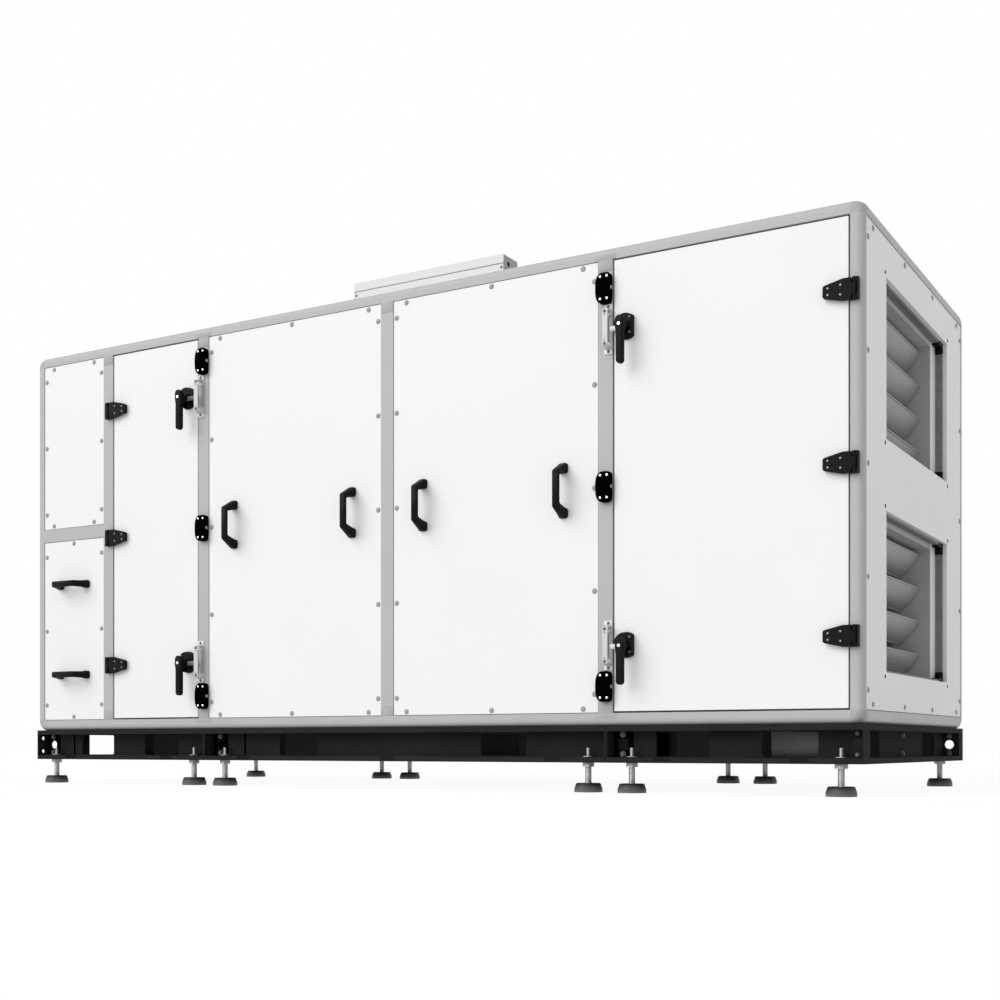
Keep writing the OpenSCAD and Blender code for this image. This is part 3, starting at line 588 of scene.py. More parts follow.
    def show(self, name: str, mesh: Mesh, slot: str, finish: Finish, body: str = CASING) -> bpy.types.Object:
        """Puts a finished mesh in the scene and lets it ride on a body.

        Args:
            name: The piece's name.
            mesh: Its mesh, in place.
            slot: The record's material slot, which is not used.
            finish: Its finish.
            body: The body that it moves with.

        Returns:
            The piece's object.
        """
        mesh.materials.clear()
        mesh.materials.append(self.material(finish))
        piece = bpy.data.objects.new(name, mesh)
        bpy.context.scene.collection.objects.link(piece)
        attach(piece, body)
        LOG.info("made %s on %s: %d faces", name, body, len(mesh.polygons))
        return piece

    def plates(self, name: str, boxes: Iterable[Box], soft: float, slot: str, finish: Finish) -> None:
        """Shows plates with softened edges on the casing."""
        self.show(name, Piece.slabs(name, boxes, soft), slot, finish)


class Fasteners:
    """Screw caps, screws and bolts, set on points by one Geometry Nodes tree."""

    TURNED = {
        Head.CAP: (14, ((0.95, -0.1), (1.0, 0.2), (0.86, 0.52), (0.74, 0.55), (0.66, 0.85), (0.34, 1.0))),
        Head.PLUG: (12, ((0.98, -0.1), (1.0, 0.5), (0.8, 0.95), (0.3, 1.0))),
        Head.SOCKET: (12, ((0.98, -0.1), (1.0, 0.35), (0.8, 0.85), (0.6, 1.0), (0.46, 1.0), (0.42, 0.4))),
    }
    WASHER = ((1.3, -0.05), (1.3, 0.2))
    HEXAGON = ((1.0, 0.2), (1.0, 0.9), (0.86, 1.0))
    CROSS_ARM, CROSS_HALF = 0.6, 0.14
    CROSS_SIDE = ((0.98, -0.1), (1.0, 0.4), (0.84, 0.85))
    CROSS_DEPTHS = (1.0, 0.45)
    SHARP = 32.0

    def __init__(self, shop: FinishShop) -> None:
        """Builds the heads that are repeated, which aren't put in the scene, and the tree.

        Args:
            shop: The shop that finishes the fasteners.
        """
        self.shop = shop
        self.heads: dict[Head, bpy.types.Object] = {}
        for head in Head:
            mesh = Piece.skin(head.value, [self._rings(head)], self.SHARP)
            self.heads[head] = bpy.data.objects.new(head.value + "_template", mesh)
        self.desk = self._tree()

    def _rings(self, head: Head) -> list[list[Vector]]:
        """Gives the rings of a head of radius 1 and height 1, from the bottom up.

        Args:
            head: The kind of head.

        Returns:
            The rings.
        """
        if head in self.TURNED:
            count, profile = self.TURNED[head]
            return [Piece.ring(radius, height, count) for radius, height in profile]
        if head is Head.HEX:
            washer = [Piece.ring(radius, height, 12) for radius, height in self.WASHER]
            return washer + [self._flats(radius, height) for radius, height in self.HEXAGON]
        arm, half = self.CROSS_ARM, self.CROSS_HALF
        quarter = [Vector((arm, -half, 0.0)), Vector((arm, half, 0.0)), Vector((half, half, 0.0))]
        cross = [Matrix.Rotation(turn * math.pi / 2, 3, "Z") @ point
                 for turn in range(4) for point in quarter]
        side = [[Vector((*(point.xy.normalized() * radius), height)) for point in cross]
                for radius, height in self.CROSS_SIDE]
        return side + [[Vector((*point.xy, height)) for point in cross] for height in self.CROSS_DEPTHS]

    @staticmethod
    def _flats(radius: float, height: float) -> list[Vector]:
        """Gives a hexagon as twelve points: its corners and the middles of its flats.

        Args:
            radius: The radius of its corners.
            height: Its height.

        Returns:
            The points, counter-clockwise.
        """
        inner = radius * math.cos(math.pi / 6)
        return [point * (inner if step % 2 else radius) + Vector((0.0, 0.0, height))
                for step, point in enumerate(Piece.ring(1.0, 0.0, 12))]

    @staticmethod
    def _tree() -> TreeDesk:
        """Builds the tree that sets heads on points along their facing, each with a chance turn.

        Returns:
            The desk with the whole tree.
        """
        desk = TreeDesk("set_fasteners", ("Head", "Head Radius", "Head Height", "Seed"))
        given = desk.given
        source = desk.lay("GeometryNodeObjectInfo", {"Object": given["Head"]})
        facing = desk.lay("GeometryNodeInputNamedAttribute", {"Name": "facing"}, data_type="FLOAT_VECTOR")
        align = desk.lay(
            "FunctionNodeAlignRotationToVector", {"Vector": facing.outputs["Attribute"]}, axis="Z")
        chance = desk.lay("FunctionNodeRandomValue", {3: math.tau, "Seed": given["Seed"]}, data_type="FLOAT")
        spin = desk.lay(
            "FunctionNodeAxisAngleToRotation", {"Axis": Facing.UP.value, "Angle": chance.outputs[1]})
        turns = {"Rotation": align.outputs["Rotation"], "Rotate By": spin.outputs["Rotation"]}
        turned = desk.lay("FunctionNodeRotateRotation", turns, rotation_space="LOCAL")
        radius, height = given["Head Radius"], given["Head Height"]
        size = desk.lay("ShaderNodeCombineXYZ", {"X": radius, "Y": radius, "Z": height})
        place = desk.lay("GeometryNodeInstanceOnPoints", {
            "Points": given["Geometry"], "Instance": source.outputs["Geometry"],
            "Rotation": turned.outputs["Rotation"], "Scale": size.outputs["Vector"]})
        desk.close(place.outputs["Instances"])
        return desk

    def set(self, name: str, kind: Fastener, spots: Sequence[Spot], body: str = CASING) -> None:
        """Sets one kind of fastener on many spots of a body.

        Args:
            name: The piece's name.
            kind: The kind of fastener.
            spots: Where the heads sit.
            body: The body that it moves with.
        """
        points = bpy.data.meshes.new(name + ".points")
        points.from_pydata([(spot.x, spot.y, spot.z) for spot in spots], [], [])
        facing = points.attributes.new("facing", "FLOAT_VECTOR", "POINT")
        for place, spot in enumerate(spots):
            facing.data[place].vector = spot.facing.value
        mesh = self.desk.grow(name, points, {
            "Head": self.heads[kind.head], "Head Radius": kind.radius * MM, "Head Height": kind.height * MM,
            "Seed": len(spots), "Finish": self.shop.material(kind.finish)})
        self.shop.show(name, mesh, kind.slot, kind.finish, body)


class SealRuns:
    """Rubber seals drawn along closed paths by one Geometry Nodes tree."""

    def __init__(self, shop: FinishShop) -> None:
        """Builds the tree.

        Args:
            shop: The shop that finishes the seals.
        """
        self.shop = shop
        desk = self.desk = TreeDesk("seal_run", ("Radius", "Corner"))
        path = desk.lay("GeometryNodeMeshToCurve", {"Mesh": desk.given["Geometry"]})
        bends = {"Curve": path.outputs["Curve"], "Radius": desk.given["Corner"], "Count": 4}
        soft = desk.lay("GeometryNodeFilletCurve", bends, mode="POLY")
        bulb = desk.lay(
            "GeometryNodeCurvePrimitiveCircle", {"Radius": desk.given["Radius"], "Resolution": 10})
        runs = {"Curve": soft.outputs["Curve"], "Profile Curve": bulb.outputs["Curve"]}
        skin = desk.lay("GeometryNodeCurveToMesh", runs)
        desk.close(skin.outputs["Mesh"])

    def lay(self, name: str, slot: str, corners: Sequence[Vector], radius: float, finish: Finish) -> None:
        """Lays a round seal along a closed loop on the casing.

        Args:
            name: The piece's name.
            slot: The record's material slot.
            corners: The loop's corners in order.
            radius: The seal's radius, a third of its bend at the corners.
            finish: Its finish.
        """
        seed = bpy.data.meshes.new(name + ".path")
        seed.from_pydata(corners, [(step, (step + 1) % len(corners)) for step in range(len(corners))], [])
        values = {"Radius": radius, "Corner": radius * 3, "Finish": self.shop.material(finish)}
        mesh = self.desk.grow(name, seed, values)
        mesh.shade_smooth()
        self.shop.show(name, mesh, slot, finish)


@dataclass(frozen=True)
class Kit:
    """The workshop tools that every sub-assembly uses."""

    shop: FinishShop
    fasteners: Fasteners
    seals: SealRuns


@dataclass(frozen=True)
class CapLayout:
    """How many screw caps a panel has along its edges, and how far in they sit."""

    row: int
    column: int
    side_inset: float = 11.5 * MM
    level_inset: float = 11.5 * MM
    row_inset: float = 52.0 * MM
    column_inset: float = 58.0 * MM


@dataclass
class Casing:
    """The framed casing with its fixed panels, screw caps, post connectors and frame corners."""

    kit: Kit
    front_caps: tuple[tuple[str, CapLayout], ...] = (
        ("upper_left_panel", CapLayout(2, 3)), ("lower_left_panel", CapLayout(1, 3)),
        ("service_panel_1", CapLayout(3, 5)), ("service_panel_2", CapLayout(3, 5)))
    end_caps: CapLayout = CapLayout(4, 5, *metres(20, 16, 73, 56))
    bay_caps: CapLayout = CapLayout(3, 5)
    rear_bays: tuple[Sizes, ...] = (metres(-1638, -822), metres(-768, 8), metres(62, 838), metres(892, 1638))
    roof_bays: tuple[Sizes, ...] = (metres(-1638, -822), metres(-768, 838), metres(892, 1638))
    posts: Sizes = metres(-1285, -795, 35, 865)
    post_half: float = 24.0 * MM
    connector_h: float = 36.0 * MM
    connector_t: Sizes = metres(-0.6, 2)
    joints: Sizes = metres(-795, 865)
    joint_half: float = 37.0 * MM
    joint_h: float = 17.0 * MM
    edge_w: float = 40.0 * MM
    edge_r: float = 22.0 * MM
    bend_r: float = 38.5 * MM
    bend_from: float = 8.0 * MM

    def dress(self) -> None:
        """Coats the frame and the panels."""
        self.kit.shop.coat(
            FRAME_METAL, "frame_rails", "corner_posts", "frame_corners", "front_posts", "rear_posts",
            "left_mid_rail", "cross_rails")
        self.kit.shop.coat(
            WHITE_PAINT, "upper_left_panel", "lower_left_panel", "service_panel_1", "service_panel_2",
            "rear_panels", "roof_panels", "floor_panels", "left_end_panel", "right_end_panel")

    @staticmethod
    def steps(start: float, end: float, count: int) -> list[float]:
        """Spaces numbers evenly.

        Args:
            start: The first number.
            end: The last number.
            count: How many there are.

        Returns:
            The numbers, or the middle where there is only one.
        """
        if count == 1:
            return [(start + end) / 2]
        return [start + (end - start) * step / (count - 1) for step in range(count)]

    @staticmethod
    def edge_spots(low: Vector, high: Vector, facing: Facing, layout: CapLayout) -> list[Spot]:
        """Gives the cap spots round a panel.

        Args:
            low: The panel's lowest corner.
            high: Its highest corner.
            facing: The side that is seen.
            layout: The number and insets of the caps.

        Returns:
            The spots.
        """
        across = 1 if facing in (Facing.RIGHT, Facing.LEFT) else 0
        rise = 1 if facing is Facing.UP else 2
        depth = 3 - across - rise
        face = (high if sum(facing.value) > 0 else low)[depth]
        row = Casing.steps(low[across] + layout.row_inset, high[across] - layout.row_inset, layout.row)
        column = Casing.steps(
            low[rise] + layout.column_inset, high[rise] - layout.column_inset, layout.column)
        levels = (low[rise] + layout.level_inset, high[rise] - layout.level_inset)
        sides = (low[across] + layout.side_inset, high[across] - layout.side_inset)
        places = [(x, z) for z in levels for x in row] + [(x, z) for x in sides for z in column]
        axes = sorted(range(3), key=(across, rise, depth).__getitem__)
        return [Spot(*((x, z, face)[axis] for axis in axes), facing) for x, z in places]

    def build(self) -> None:
        """Sets the caps of every fixed panel, the connectors of the posts and the frame corners."""
        spots: list[Spot] = []
        for name, layout in self.front_caps:
            spots += self.edge_spots(*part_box(name), Facing.FRONT, layout)
        for name, facing in (("right_end_panel", Facing.RIGHT), ("left_end_panel", Facing.LEFT)):
            spots += self.edge_spots(*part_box(name), facing, self.end_caps)
        decks = (("rear_panels", self.rear_bays, Facing.REAR), ("roof_panels", self.roof_bays, Facing.UP))
        for name, bays, facing in decks:
            low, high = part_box(name)
            for start, end in bays:
                spots += self.edge_spots(
                    Vector((start, *low.yz)), Vector((end, *high.yz)), facing, self.bay_caps)
        self.kit.fasteners.set("panel_screw_caps", PANEL_CAP, spots)
        self.join_posts()
        self.round_corners()

    def join_posts(self) -> None:
        """Sets the thin connector plates at the ends of the posts and across the joints of the rails."""
        (_, front, low), (_, _, high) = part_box("front_posts")
        depth = [front + side for side in self.connector_t]
        ends = ((low, low + self.connector_h), (high - self.connector_h, high))
        rails = ((low - self.joint_h, low), (high, high + self.joint_h))
        plates = [block((x - half, x + half), depth, span)
                  for places, half, spans in (
                      (self.posts, self.post_half, ends), (self.joints, self.joint_half, rails))
                  for x in places for span in spans]
        self.kit.shop.plates("post_connectors", plates, 0.25 * MM, "frame_grey", CONNECTOR)

    def corner_ring(self, depth: float) -> Outline:
        """Gives the outline of a corner block at a depth behind the front or rear face.

        Args:
            depth: The distance behind the face.

        Returns:
            The outline, measured from the casing's outer corner.
        """
        short = max(self.edge_r - depth, 0.0)
        inset = self.edge_r - math.sqrt(self.edge_r**2 - short**2)
        share = min(max((depth - self.bend_from) / (self.edge_w - self.bend_from), 0.0), 1.0)
        share = share * share * (3.0 - 2.0 * share)
        bend = self.bend_r + (self.edge_r - self.bend_r) * share
        arc = [(bend - up, bend - across) for across, up in Piece.arc(bend - inset, 0.0, 90.0, 11)]
        return [(self.edge_w, inset), *arc, (inset, self.edge_w), (self.edge_w, self.edge_w)]

    def round_corners(self) -> None:
        """Replaces the corner blocks by ones that bend round the outline of the front and the rear."""
        curved = [self.edge_r * (1.0 - math.cos(math.pi / 2 * step / 6)) for step in range(7)]
        depths = curved + [self.edge_r + (self.edge_w - self.edge_r) * step / 5 for step in range(1, 6)]
        corners = product(*(((low, 1.0), (high, -1.0)) for low, high in zip(*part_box("frame_corners"))))
        stacks = [[[Vector((x + out_x * across, y + out_y * depth, z + out_z * up))
                    for across, up in self.corner_ring(depth)] for depth in depths]
                  for (x, out_x), (y, out_y), (z, out_z) in corners]
        mesh = Piece.skin("bent_frame_corners", stacks, 35.0)
        piece = self.kit.shop.show("bent_frame_corners", mesh, "frame_grey", CONNECTOR)
        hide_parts("frame_corners")


@dataclass
class Door:
    """One door with its hinges, swing levers, hub caps and seal.

    The outlines of the levers and their bases are in millimetres, and their stacks give an inset or a share
    of the outline and a height above the frame's front.
    """

    kit: Kit
    side: Side
    opening: Sizes
    pin_x: float
    pivot_x: float
    levels: Sizes = metres(461, 956, 1451)
    drop: float = 5.0
    leaf_front: float = 15.0 * MM
    leaf_screws: tuple[Sizes, ...] = (metres(77, 9.5), metres(40, 14))
    base_front: float = 20.0 * MM
    base_screw: Sizes = metres(17.5, 23.5)
    head_r: float = 14.5
    head_up: float = 13.0
    shoulder: float = -5.0
    waist: float = -26.0
    arm_half: float = 11.3
    reach: float = 121.0
    arm_stack: Sequence[Pair] = ((1.0, 41.0), (0.0, 42.0), (0.0, 57.5), (1.0, 59.4), (2.4, 60.0))
    neck_r: float = 11.5
    neck_ends: Pair = (5.0, 23.0)
    hub_ends: Pair = (24.0, 42.5)
    base_r: float = 40.4
    base_half: float = 24.4
    base_in: float = 0.5
    rim_arc: Pair = (0.0, 352.5)
    rim_stack: Sequence[Pair] = ((1.0, -2.0), (1.0, 3.2), (0.97, 4.0))
    boss_arc: Pair = (-71.0, 170.0)
    boss_corner: Outline = field(default_factory=lambda: [(12.0, 12.0)])
    boss_stack: Sequence[Pair] = ((0.98, -2.0), (0.98, 5.0), (0.95, 18.0), (0.90, 20.0))
    seal_z: Sizes = metres(250, 1670)
    seal_in: float = 10.5 * MM
    seal_deep: float = 37.6 * MM
    seal_r: float = 2.3 * MM

    @property
    def word(self) -> str:
        """The door's name in node and body names."""
        return self.side.name.lower()

    @property
    def pivots(self) -> dict[str, Vector]:
        """The pivots of the levers at the frame's front, by the levers' node names."""
        return {f"{self.word}_lever_{mark}": Vector((self.pivot_x, FRONT_FACE, level - self.drop * MM))
                for mark, level in (("low", self.levels[0]), ("high", self.levels[2]))}

    def dress(self) -> None:
        """Coats the door, its leaves, bases, levers and rollers."""
        shop, word = self.kit.shop, self.word
        shop.coat(WHITE_PAINT, f"{word}_door_panel")
        shop.coat(BLACK_MOULDING, f"{word}_door_leaves", f"{word}_lever_bases", *self.pivots)
        # The rollers are one part: bright zinc on the right door paints them lit, and dark bolt zinc on the left
        # paints them in shade.
        roller_painted_tone = FLANGE_FACE if self.side is Side.RIGHT else BOLT_STEEL
        shop.coat(roller_painted_tone, f"{word}_roller_low", f"{word}_roller_high")

    def arm_ring(self, inset: float) -> Outline:
        """Gives a lever's outline round its pivot.

        Args:
            inset: How far the outline is drawn in.

        Returns:
            The outline, with the hub's round head at the top and the round tip at the bottom.
        """
        head, half = self.head_r - inset, self.arm_half - inset
        top = [(x, self.head_up + z) for x, z in Piece.arc(head, 0.0, 180.0, 13)]
        tip = [(x, half - self.reach + inset + z) for x, z in Piece.arc(half, 180.0, 360.0, 13)]
        return [*top, (-head, self.shoulder), (-half, self.waist),
                *tip, (half, self.waist), (head, self.shoulder)]

    def base_ring(self, share: float, span: Pair) -> Outline:
        """Gives the outline of a lever base round its pivot.

        Args:
            share: The outline's size as a share of the full one.
            span: The angles that the outline goes through.

        Returns:
            The outline, round but for a flat on the hinge side.
        """
        return [(min(x - self.base_in, self.base_half) * share, z * share + self.drop)
                for x, z in Piece.arc(self.base_r, *span, 48)]

    def shape_levers(self) -> None:
        """Replaces the levers and their bases by ones with slim arms and soft edges."""
        out = -self.side.value * MM
        necks = [(radius, proud)
                 for radius, ends in ((self.neck_r, self.neck_ends), (self.head_r, self.hub_ends))
                 for proud in ends]
        bases: list[list[list[Vector]]] = []
        for lever, pivot in self.pivots.items():

            def ring(outline: Iterable[Sequence[float]], proud: float) -> list[Vector]:
                """Lays an outline round the pivot at a height above the frame's front."""
                return [pivot + Vector((out * x, -proud * MM, z * MM)) for x, z in outline]

            arm = [ring(self.arm_ring(inset), proud) for inset, proud in self.arm_stack]
            neck = [ring([point.xy for point in Piece.ring(radius, 0.0, 24)], proud)
                    for radius, proud in necks]
            mesh = Piece.skin(f"{lever}_shape", [arm, neck])
            piece = self.kit.shop.show(
                f"{lever}_shape", mesh, "black_plastic", BLACK_MOULDING, f"{lever}_body")
            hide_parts(lever)
            rounds = ((self.rim_arc, [], self.rim_stack), (self.boss_arc, self.boss_corner, self.boss_stack))
            bases += [[ring(self.base_ring(share, span) + corner, proud) for share, proud in stack]
                      for span, corner, stack in rounds]
        name = f"{self.word}_lever_base_shapes"
        piece = self.kit.shop.show(
            name, Piece.skin(name, bases), "black_plastic", BLACK_MOULDING, f"{self.word}_door")
        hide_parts(f"{self.word}_lever_bases")

    def build(self) -> None:
        """Shapes the levers, and sets the screws, the hub caps and the door seal."""
        self.shape_levers()
        inward, body, fix = self.side.value, f"{self.word}_door", self.kit.fasteners
        leaves = [Spot(self.pin_x + inward * along, FRONT_FACE - self.leaf_front, level + up, Facing.FRONT)
                  for level in self.levels for along, half in self.leaf_screws for up in (-half, half)]
        fix.set(f"{self.word}_hinge_screws", HINGE_SCREW, leaves, body)
        back, half = self.base_screw
        bases = [Spot(self.pivot_x - inward * back, FRONT_FACE - self.base_front, level + up, Facing.FRONT)
                 for level in (self.levels[0], self.levels[2]) for up in (-half, half)]
        fix.set(f"{self.word}_lever_base_screws", LEVER_SCREW, bases, body)
        for lever, pivot in self.pivots.items():
            hub = [Spot(pivot.x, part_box(lever)[0].y, pivot.z, Facing.FRONT)]
            fix.set(f"{lever}_hub_cap", HUB_CAP, hub, f"{lever}_body")
        self.lay_seal()

    def lay_seal(self) -> None:
        """Lays the seal that the closed door presses on."""
        ends = (self.opening, self.seal_z)
        (left, right), (low, high) = ((start + self.seal_in, end - self.seal_in) for start, end in ends)
        corners = [Vector((x, FRONT_FACE + self.seal_deep, z))
                   for x, z in ((left, low), (right, low), (right, high), (left, high))]
        self.kit.seals.lay(f"{self.word}_door_seal", "black_plastic", corners, self.seal_r, SEAL_RUBBER)


@dataclass
class FrontFittings:
    """The strikes, section joint plates, handles and fixed hinge leaves on the front.

    A handle is given by sections from its foot to its middle, in millimetres: the places along it of the
    outer and the inner edge, how far these stand out, and half the width.
    """

    kit: Kit
    joint_posts: Sizes = metres(-795, 865)
    plate_levels: Sizes = metres(332.5, 957.5, 1578.5)
    plate_proud: float = 21.0 * MM
    plate_half_w: float = 25.0 * MM
    plate_bulge: float = 2.0 * MM
    plate_half_h: float = 48.0 * MM
    plate_powers: Pair = (2.0 / 5.5, 2.0 / 2.7)
    plate_screws: tuple[Sizes, ...] = (metres(-8, 15), metres(-35, 35))
    edge_screw: float = 11.0 * MM
    handle_half: Sequence[Sizes] = (
        (-88.0, -55.0, 0.0, 0.0, 15.5), (-88.0, -54.5, 9.0, 9.0, 15.5), (-86.5, -53.0, 13.0, 13.0, 13.0),
        (-61.0, -44.5, 58.0, 45.0, 11.6), (-57.0, -40.0, 62.0, 48.0, 11.6))
    handle_power: float = 0.45
    handle_points: int = 16
    handle_face: float = -624.0 * MM
    upright_x: Sizes = metres(-647, -113, 183, 717)
    upright_z: float = 960.0 * MM
    level_x: float = -1475.0 * MM
    level_z: Sizes = metres(428.75, 786.25)
    strike_edges: tuple[Pair, ...] = ((890.0 * MM, -1.0), (-820.0 * MM, 1.0))
    strike_levels: Sizes = metres(461, 1451)
    strip_proud: float = 30.0 * MM
    base_proud: float = 3.0 * MM
    foot_x: Sizes = metres(27.6, 0.4)
    foot_z: tuple[Sizes, ...] = (metres(-77.6, -65), metres(65, 77.6))
    # The grey slab that paints the shade under each strip spans these distances from the edge, and half this
    # height.
    shade_x: Sizes = metres(28.2, 14.8)
    shade_half: float = 42.0 * MM
    foot_screw: Sizes = metres(13, 70)
    strip_screw: Sizes = metres(14, 50.5)
    strip_rivet: Sizes = metres(14, 40)

    def dress(self) -> None:
        """Coats the front fittings."""
        self.kit.shop.coat(STRIKE_STEEL, "latch_strikes")
        self.kit.shop.coat(PLATE_BLACK, "section_joint_plates")
        self.kit.shop.coat(BLACK_MOULDING, "panel_handles", "hinge_post_leaves")

    def plate_ring(self, share: float) -> Outline:
        """Gives the outline of a joint plate, squarer on its right side.

        Args:
            share: The outline's size as a share of the full one.

        Returns:
            The outline round the plate's middle.
        """
        points: Outline = []
        high = self.plate_half_h - (1.0 - share) * self.plate_half_w
        for across, up in Piece.arc(1.0, 0.0, 351.0, 40):
            power = self.plate_powers[0 if across > 0 else 1]
            half = self.plate_half_w + (0.0 if across > 0 else self.plate_bulge)
            points.append((share * half * squared(across, power), squared(up, power) * high))
        return points

    def shape_plates(self) -> None:
        """Replaces the joint plates by ones with rounded outlines and soft front edges."""
        front = -self.plate_proud
        stack = ((MM, 1.0), (front + 2.5 * MM, 1.0), (front + 0.8 * MM, 0.97), (front, 0.9))
        stacks = [[[Vector((post + x, FRONT_FACE + depth, level + z)) for x, z in self.plate_ring(share)]
                   for depth, share in stack] for post in self.joint_posts for level in self.plate_levels]
        mesh = Piece.skin("shaped_joint_plates", stacks, 45.0)
        piece = self.kit.shop.show("shaped_joint_plates", mesh, "black_paint", PLATE_BLACK)
        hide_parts("section_joint_plates")

    def handle_rings(self) -> list[list[Vector]]:
        """Gives the sections of a bridge handle from one foot to the other.

        Returns:
            Rings of points, each with its place along, out and across.
        """
        half = self.handle_half
        whole = [*half, *((-low, -high, out, within, wide)
                          for low, high, out, within, wide in reversed(half))]
        turns = [(step + 0.5) * math.tau / self.handle_points for step in range(self.handle_points)]
        rings: list[list[Vector]] = []
        for outer, inner, out, within, wide in whole:
            ring: list[Vector] = []
            for turn in turns:
                deep = 0.5 + 0.5 * squared(math.sin(turn), self.handle_power)
                at = Vector((outer, out)).lerp(Vector((inner, within)), deep)
                ring.append(Vector((at.x, at.y, wide * squared(math.cos(turn), self.handle_power))) * MM)
            rings.append(ring)
        return rings

    def shape_handles(self) -> None:
        """Replaces the handles by ones with rounded bars and broad feet."""
        rings = self.handle_rings()
        stacks = [[[Vector((x + p.z, self.handle_face - p.y, self.upright_z + p.x)) for p in ring]
                   for ring in rings] for x in self.upright_x]
        stacks += [[[Vector((self.level_x + p.x, self.handle_face - p.y, z + p.z)) for p in ring]
                    for ring in rings] for z in self.level_z]
        mesh = Piece.skin("shaped_panel_handles", stacks, 50.0)
        piece = self.kit.shop.show("shaped_panel_handles", mesh, "black_plastic", BLACK_MOULDING)
        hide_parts("panel_handles")

    def build(self) -> None:
        """Shapes the plates and handles, and sets the joint plates' screws and the strikes' fittings."""
        self.shape_plates()
        self.shape_handles()
        fix = self.kit.fasteners
        plates = [Spot(post + along, FRONT_FACE - self.plate_proud, level + up, Facing.FRONT)
                  for post, level, along, up in product(
                      self.joint_posts, self.plate_levels, *self.plate_screws)]
        fix.set("joint_plate_screws", PLATE_SCREW, plates)
        edges = [Spot(post + self.plate_half_w, FRONT_FACE - self.edge_screw, level, Facing.RIGHT)
                 for post, level in product(self.joint_posts, self.plate_levels)]
        fix.set("joint_plate_edge_screws", EDGE_SCREW, edges)
        self.fit_strikes()

    def fit_strikes(self) -> None:
        """Sets the bright feet, the grey slabs of painted shade on the middles of the strikes' base plates, the
        screws and the rivets of the strikes.
        """
        depth = (FRONT_FACE - self.base_proud - 0.5 * MM, FRONT_FACE - 2.0 * MM)
        feet: list[Box] = []
        shade_slabs: list[Box] = []
        screws: list[Spot] = []
        rivets: list[Spot] = []
        for (edge, inward), level in product(self.strike_edges, self.strike_levels):
            foot, shade_span = ([edge + inward * end for end in ends] for ends in (self.foot_x, self.shade_x))
            # Painted shade: a grey slab over the middle of each base plate, where the strip shades the post
            # behind it.
            shade_slabs.append(block(shade_span, depth, (level - self.shade_half, level + self.shade_half)))
            feet += [block(foot, depth, (level + low, level + high)) for low, high in self.foot_z]
            for up in BOTH:
                for spots, (along, rise), proud in (
                        (screws, self.foot_screw, self.base_proud),
                        (screws, self.strip_screw, self.strip_proud),
                        (rivets, self.strip_rivet, self.strip_proud)):
                    spots.append(Spot(
                        edge + inward * along, FRONT_FACE - proud, level + up * rise, Facing.FRONT))
        self.kit.shop.plates("strike_feet", feet, 0.2 * MM, "bright_steel", FLANGE_FACE)
        self.kit.shop.plates("strike_base_covers", shade_slabs, 0.2 * MM, "bright_steel", CAP_PLASTIC)
        fix = self.kit.fasteners
        fix.set("strike_screws", STRIKE_SCREW, screws)
        fix.set("strike_rivets", STRIKE_RIVET, rivets)


@dataclass
class Dampers:
    """The duct rings, damper sleeves and louvre blades, with the corner blocks and rivet nuts round them."""

    kit: Kit
    blades: int = 4
    heights: Sizes = metres(1310, 610)
    middle: float = 24.0 * MM
    half_w: float = 400.0 * MM
    half_h: float = 242.0 * MM
    hole_out: float = 13.0 * MM
    ring_t: float = 8.0 * MM
    block_arms: tuple[Sizes, ...] = (metres(58, 15), metres(15, 36))
    proud: float = 1.2 * MM
    sleeve_y: Sizes = metres(-293, 341)

    def dress(self) -> None:
        """Coats the rings, sleeves and blades."""
        self.kit.shop.coat(RING_METAL, "duct_frames")
        self.kit.shop.coat(ZINC, "damper_frames")
        self.kit.shop.coat(BLADE_METAL, *(f"{row}_blade_{count + 1}" for row in ("upper", "lower")
                                          for count in range(self.blades)))

    def build(self) -> None:
        """Sets the rivet nuts of the flange holes, the corner blocks of the rings and the flange faces."""
        wide, high = self.half_w + self.hole_out, self.half_h + self.hole_out
        ends = ((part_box("right_end_panel")[1].x, Facing.RIGHT), (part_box("left_end_panel")[0].x, Facing.LEFT))
        nuts = [Spot(x, self.middle + across * wide, height + up * high, facing)
                for (x, facing), height, across, up in product(ends, self.heights, BOTH, BOTH)]
        self.kit.fasteners.set("duct_rivet_nuts", RIVET_NUT, nuts)
        self.set_blocks()
        self.face_flanges()

    def set_blocks(self) -> None:
        """Sets an angled block in every corner of the duct rings."""
        low, high = (corner.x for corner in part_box("duct_frames"))
        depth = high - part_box("damper_frames")[1].x
        spans = ((high - depth, high + self.proud), (low - self.proud, low + depth))
        boxes: list[Box] = []
        for span, height, across, up in product(spans, self.heights, BOTH, BOTH):
            y, z = self.middle + across * self.half_w, height + up * self.half_h
            boxes += [block(span, (y, y - across * wide), (z, z - up * tall))
                      for wide, tall in self.block_arms]
        self.kit.shop.plates("duct_corner_blocks", boxes, 0.8 * MM, "black_plastic", BLACK_MOULDING)

    def face_flanges(self) -> None:
        """Lays the bright upright faces of the damper flanges beside each sleeve."""
        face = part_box("damper_frames")[1].x
        wide, high = self.half_w - self.ring_t, self.half_h - self.ring_t
        sides = ((self.middle - wide, self.sleeve_y[0]), (self.sleeve_y[1], self.middle + wide))
        boxes = [block((face - 0.5 * MM, face + 0.6 * MM), side, (height - high, height + high))
                 for height, side in product(self.heights, sides)]
        self.kit.shop.plates("damper_flange_faces", boxes, 0.25 * MM, "galvanised_steel", FLANGE_FACE)


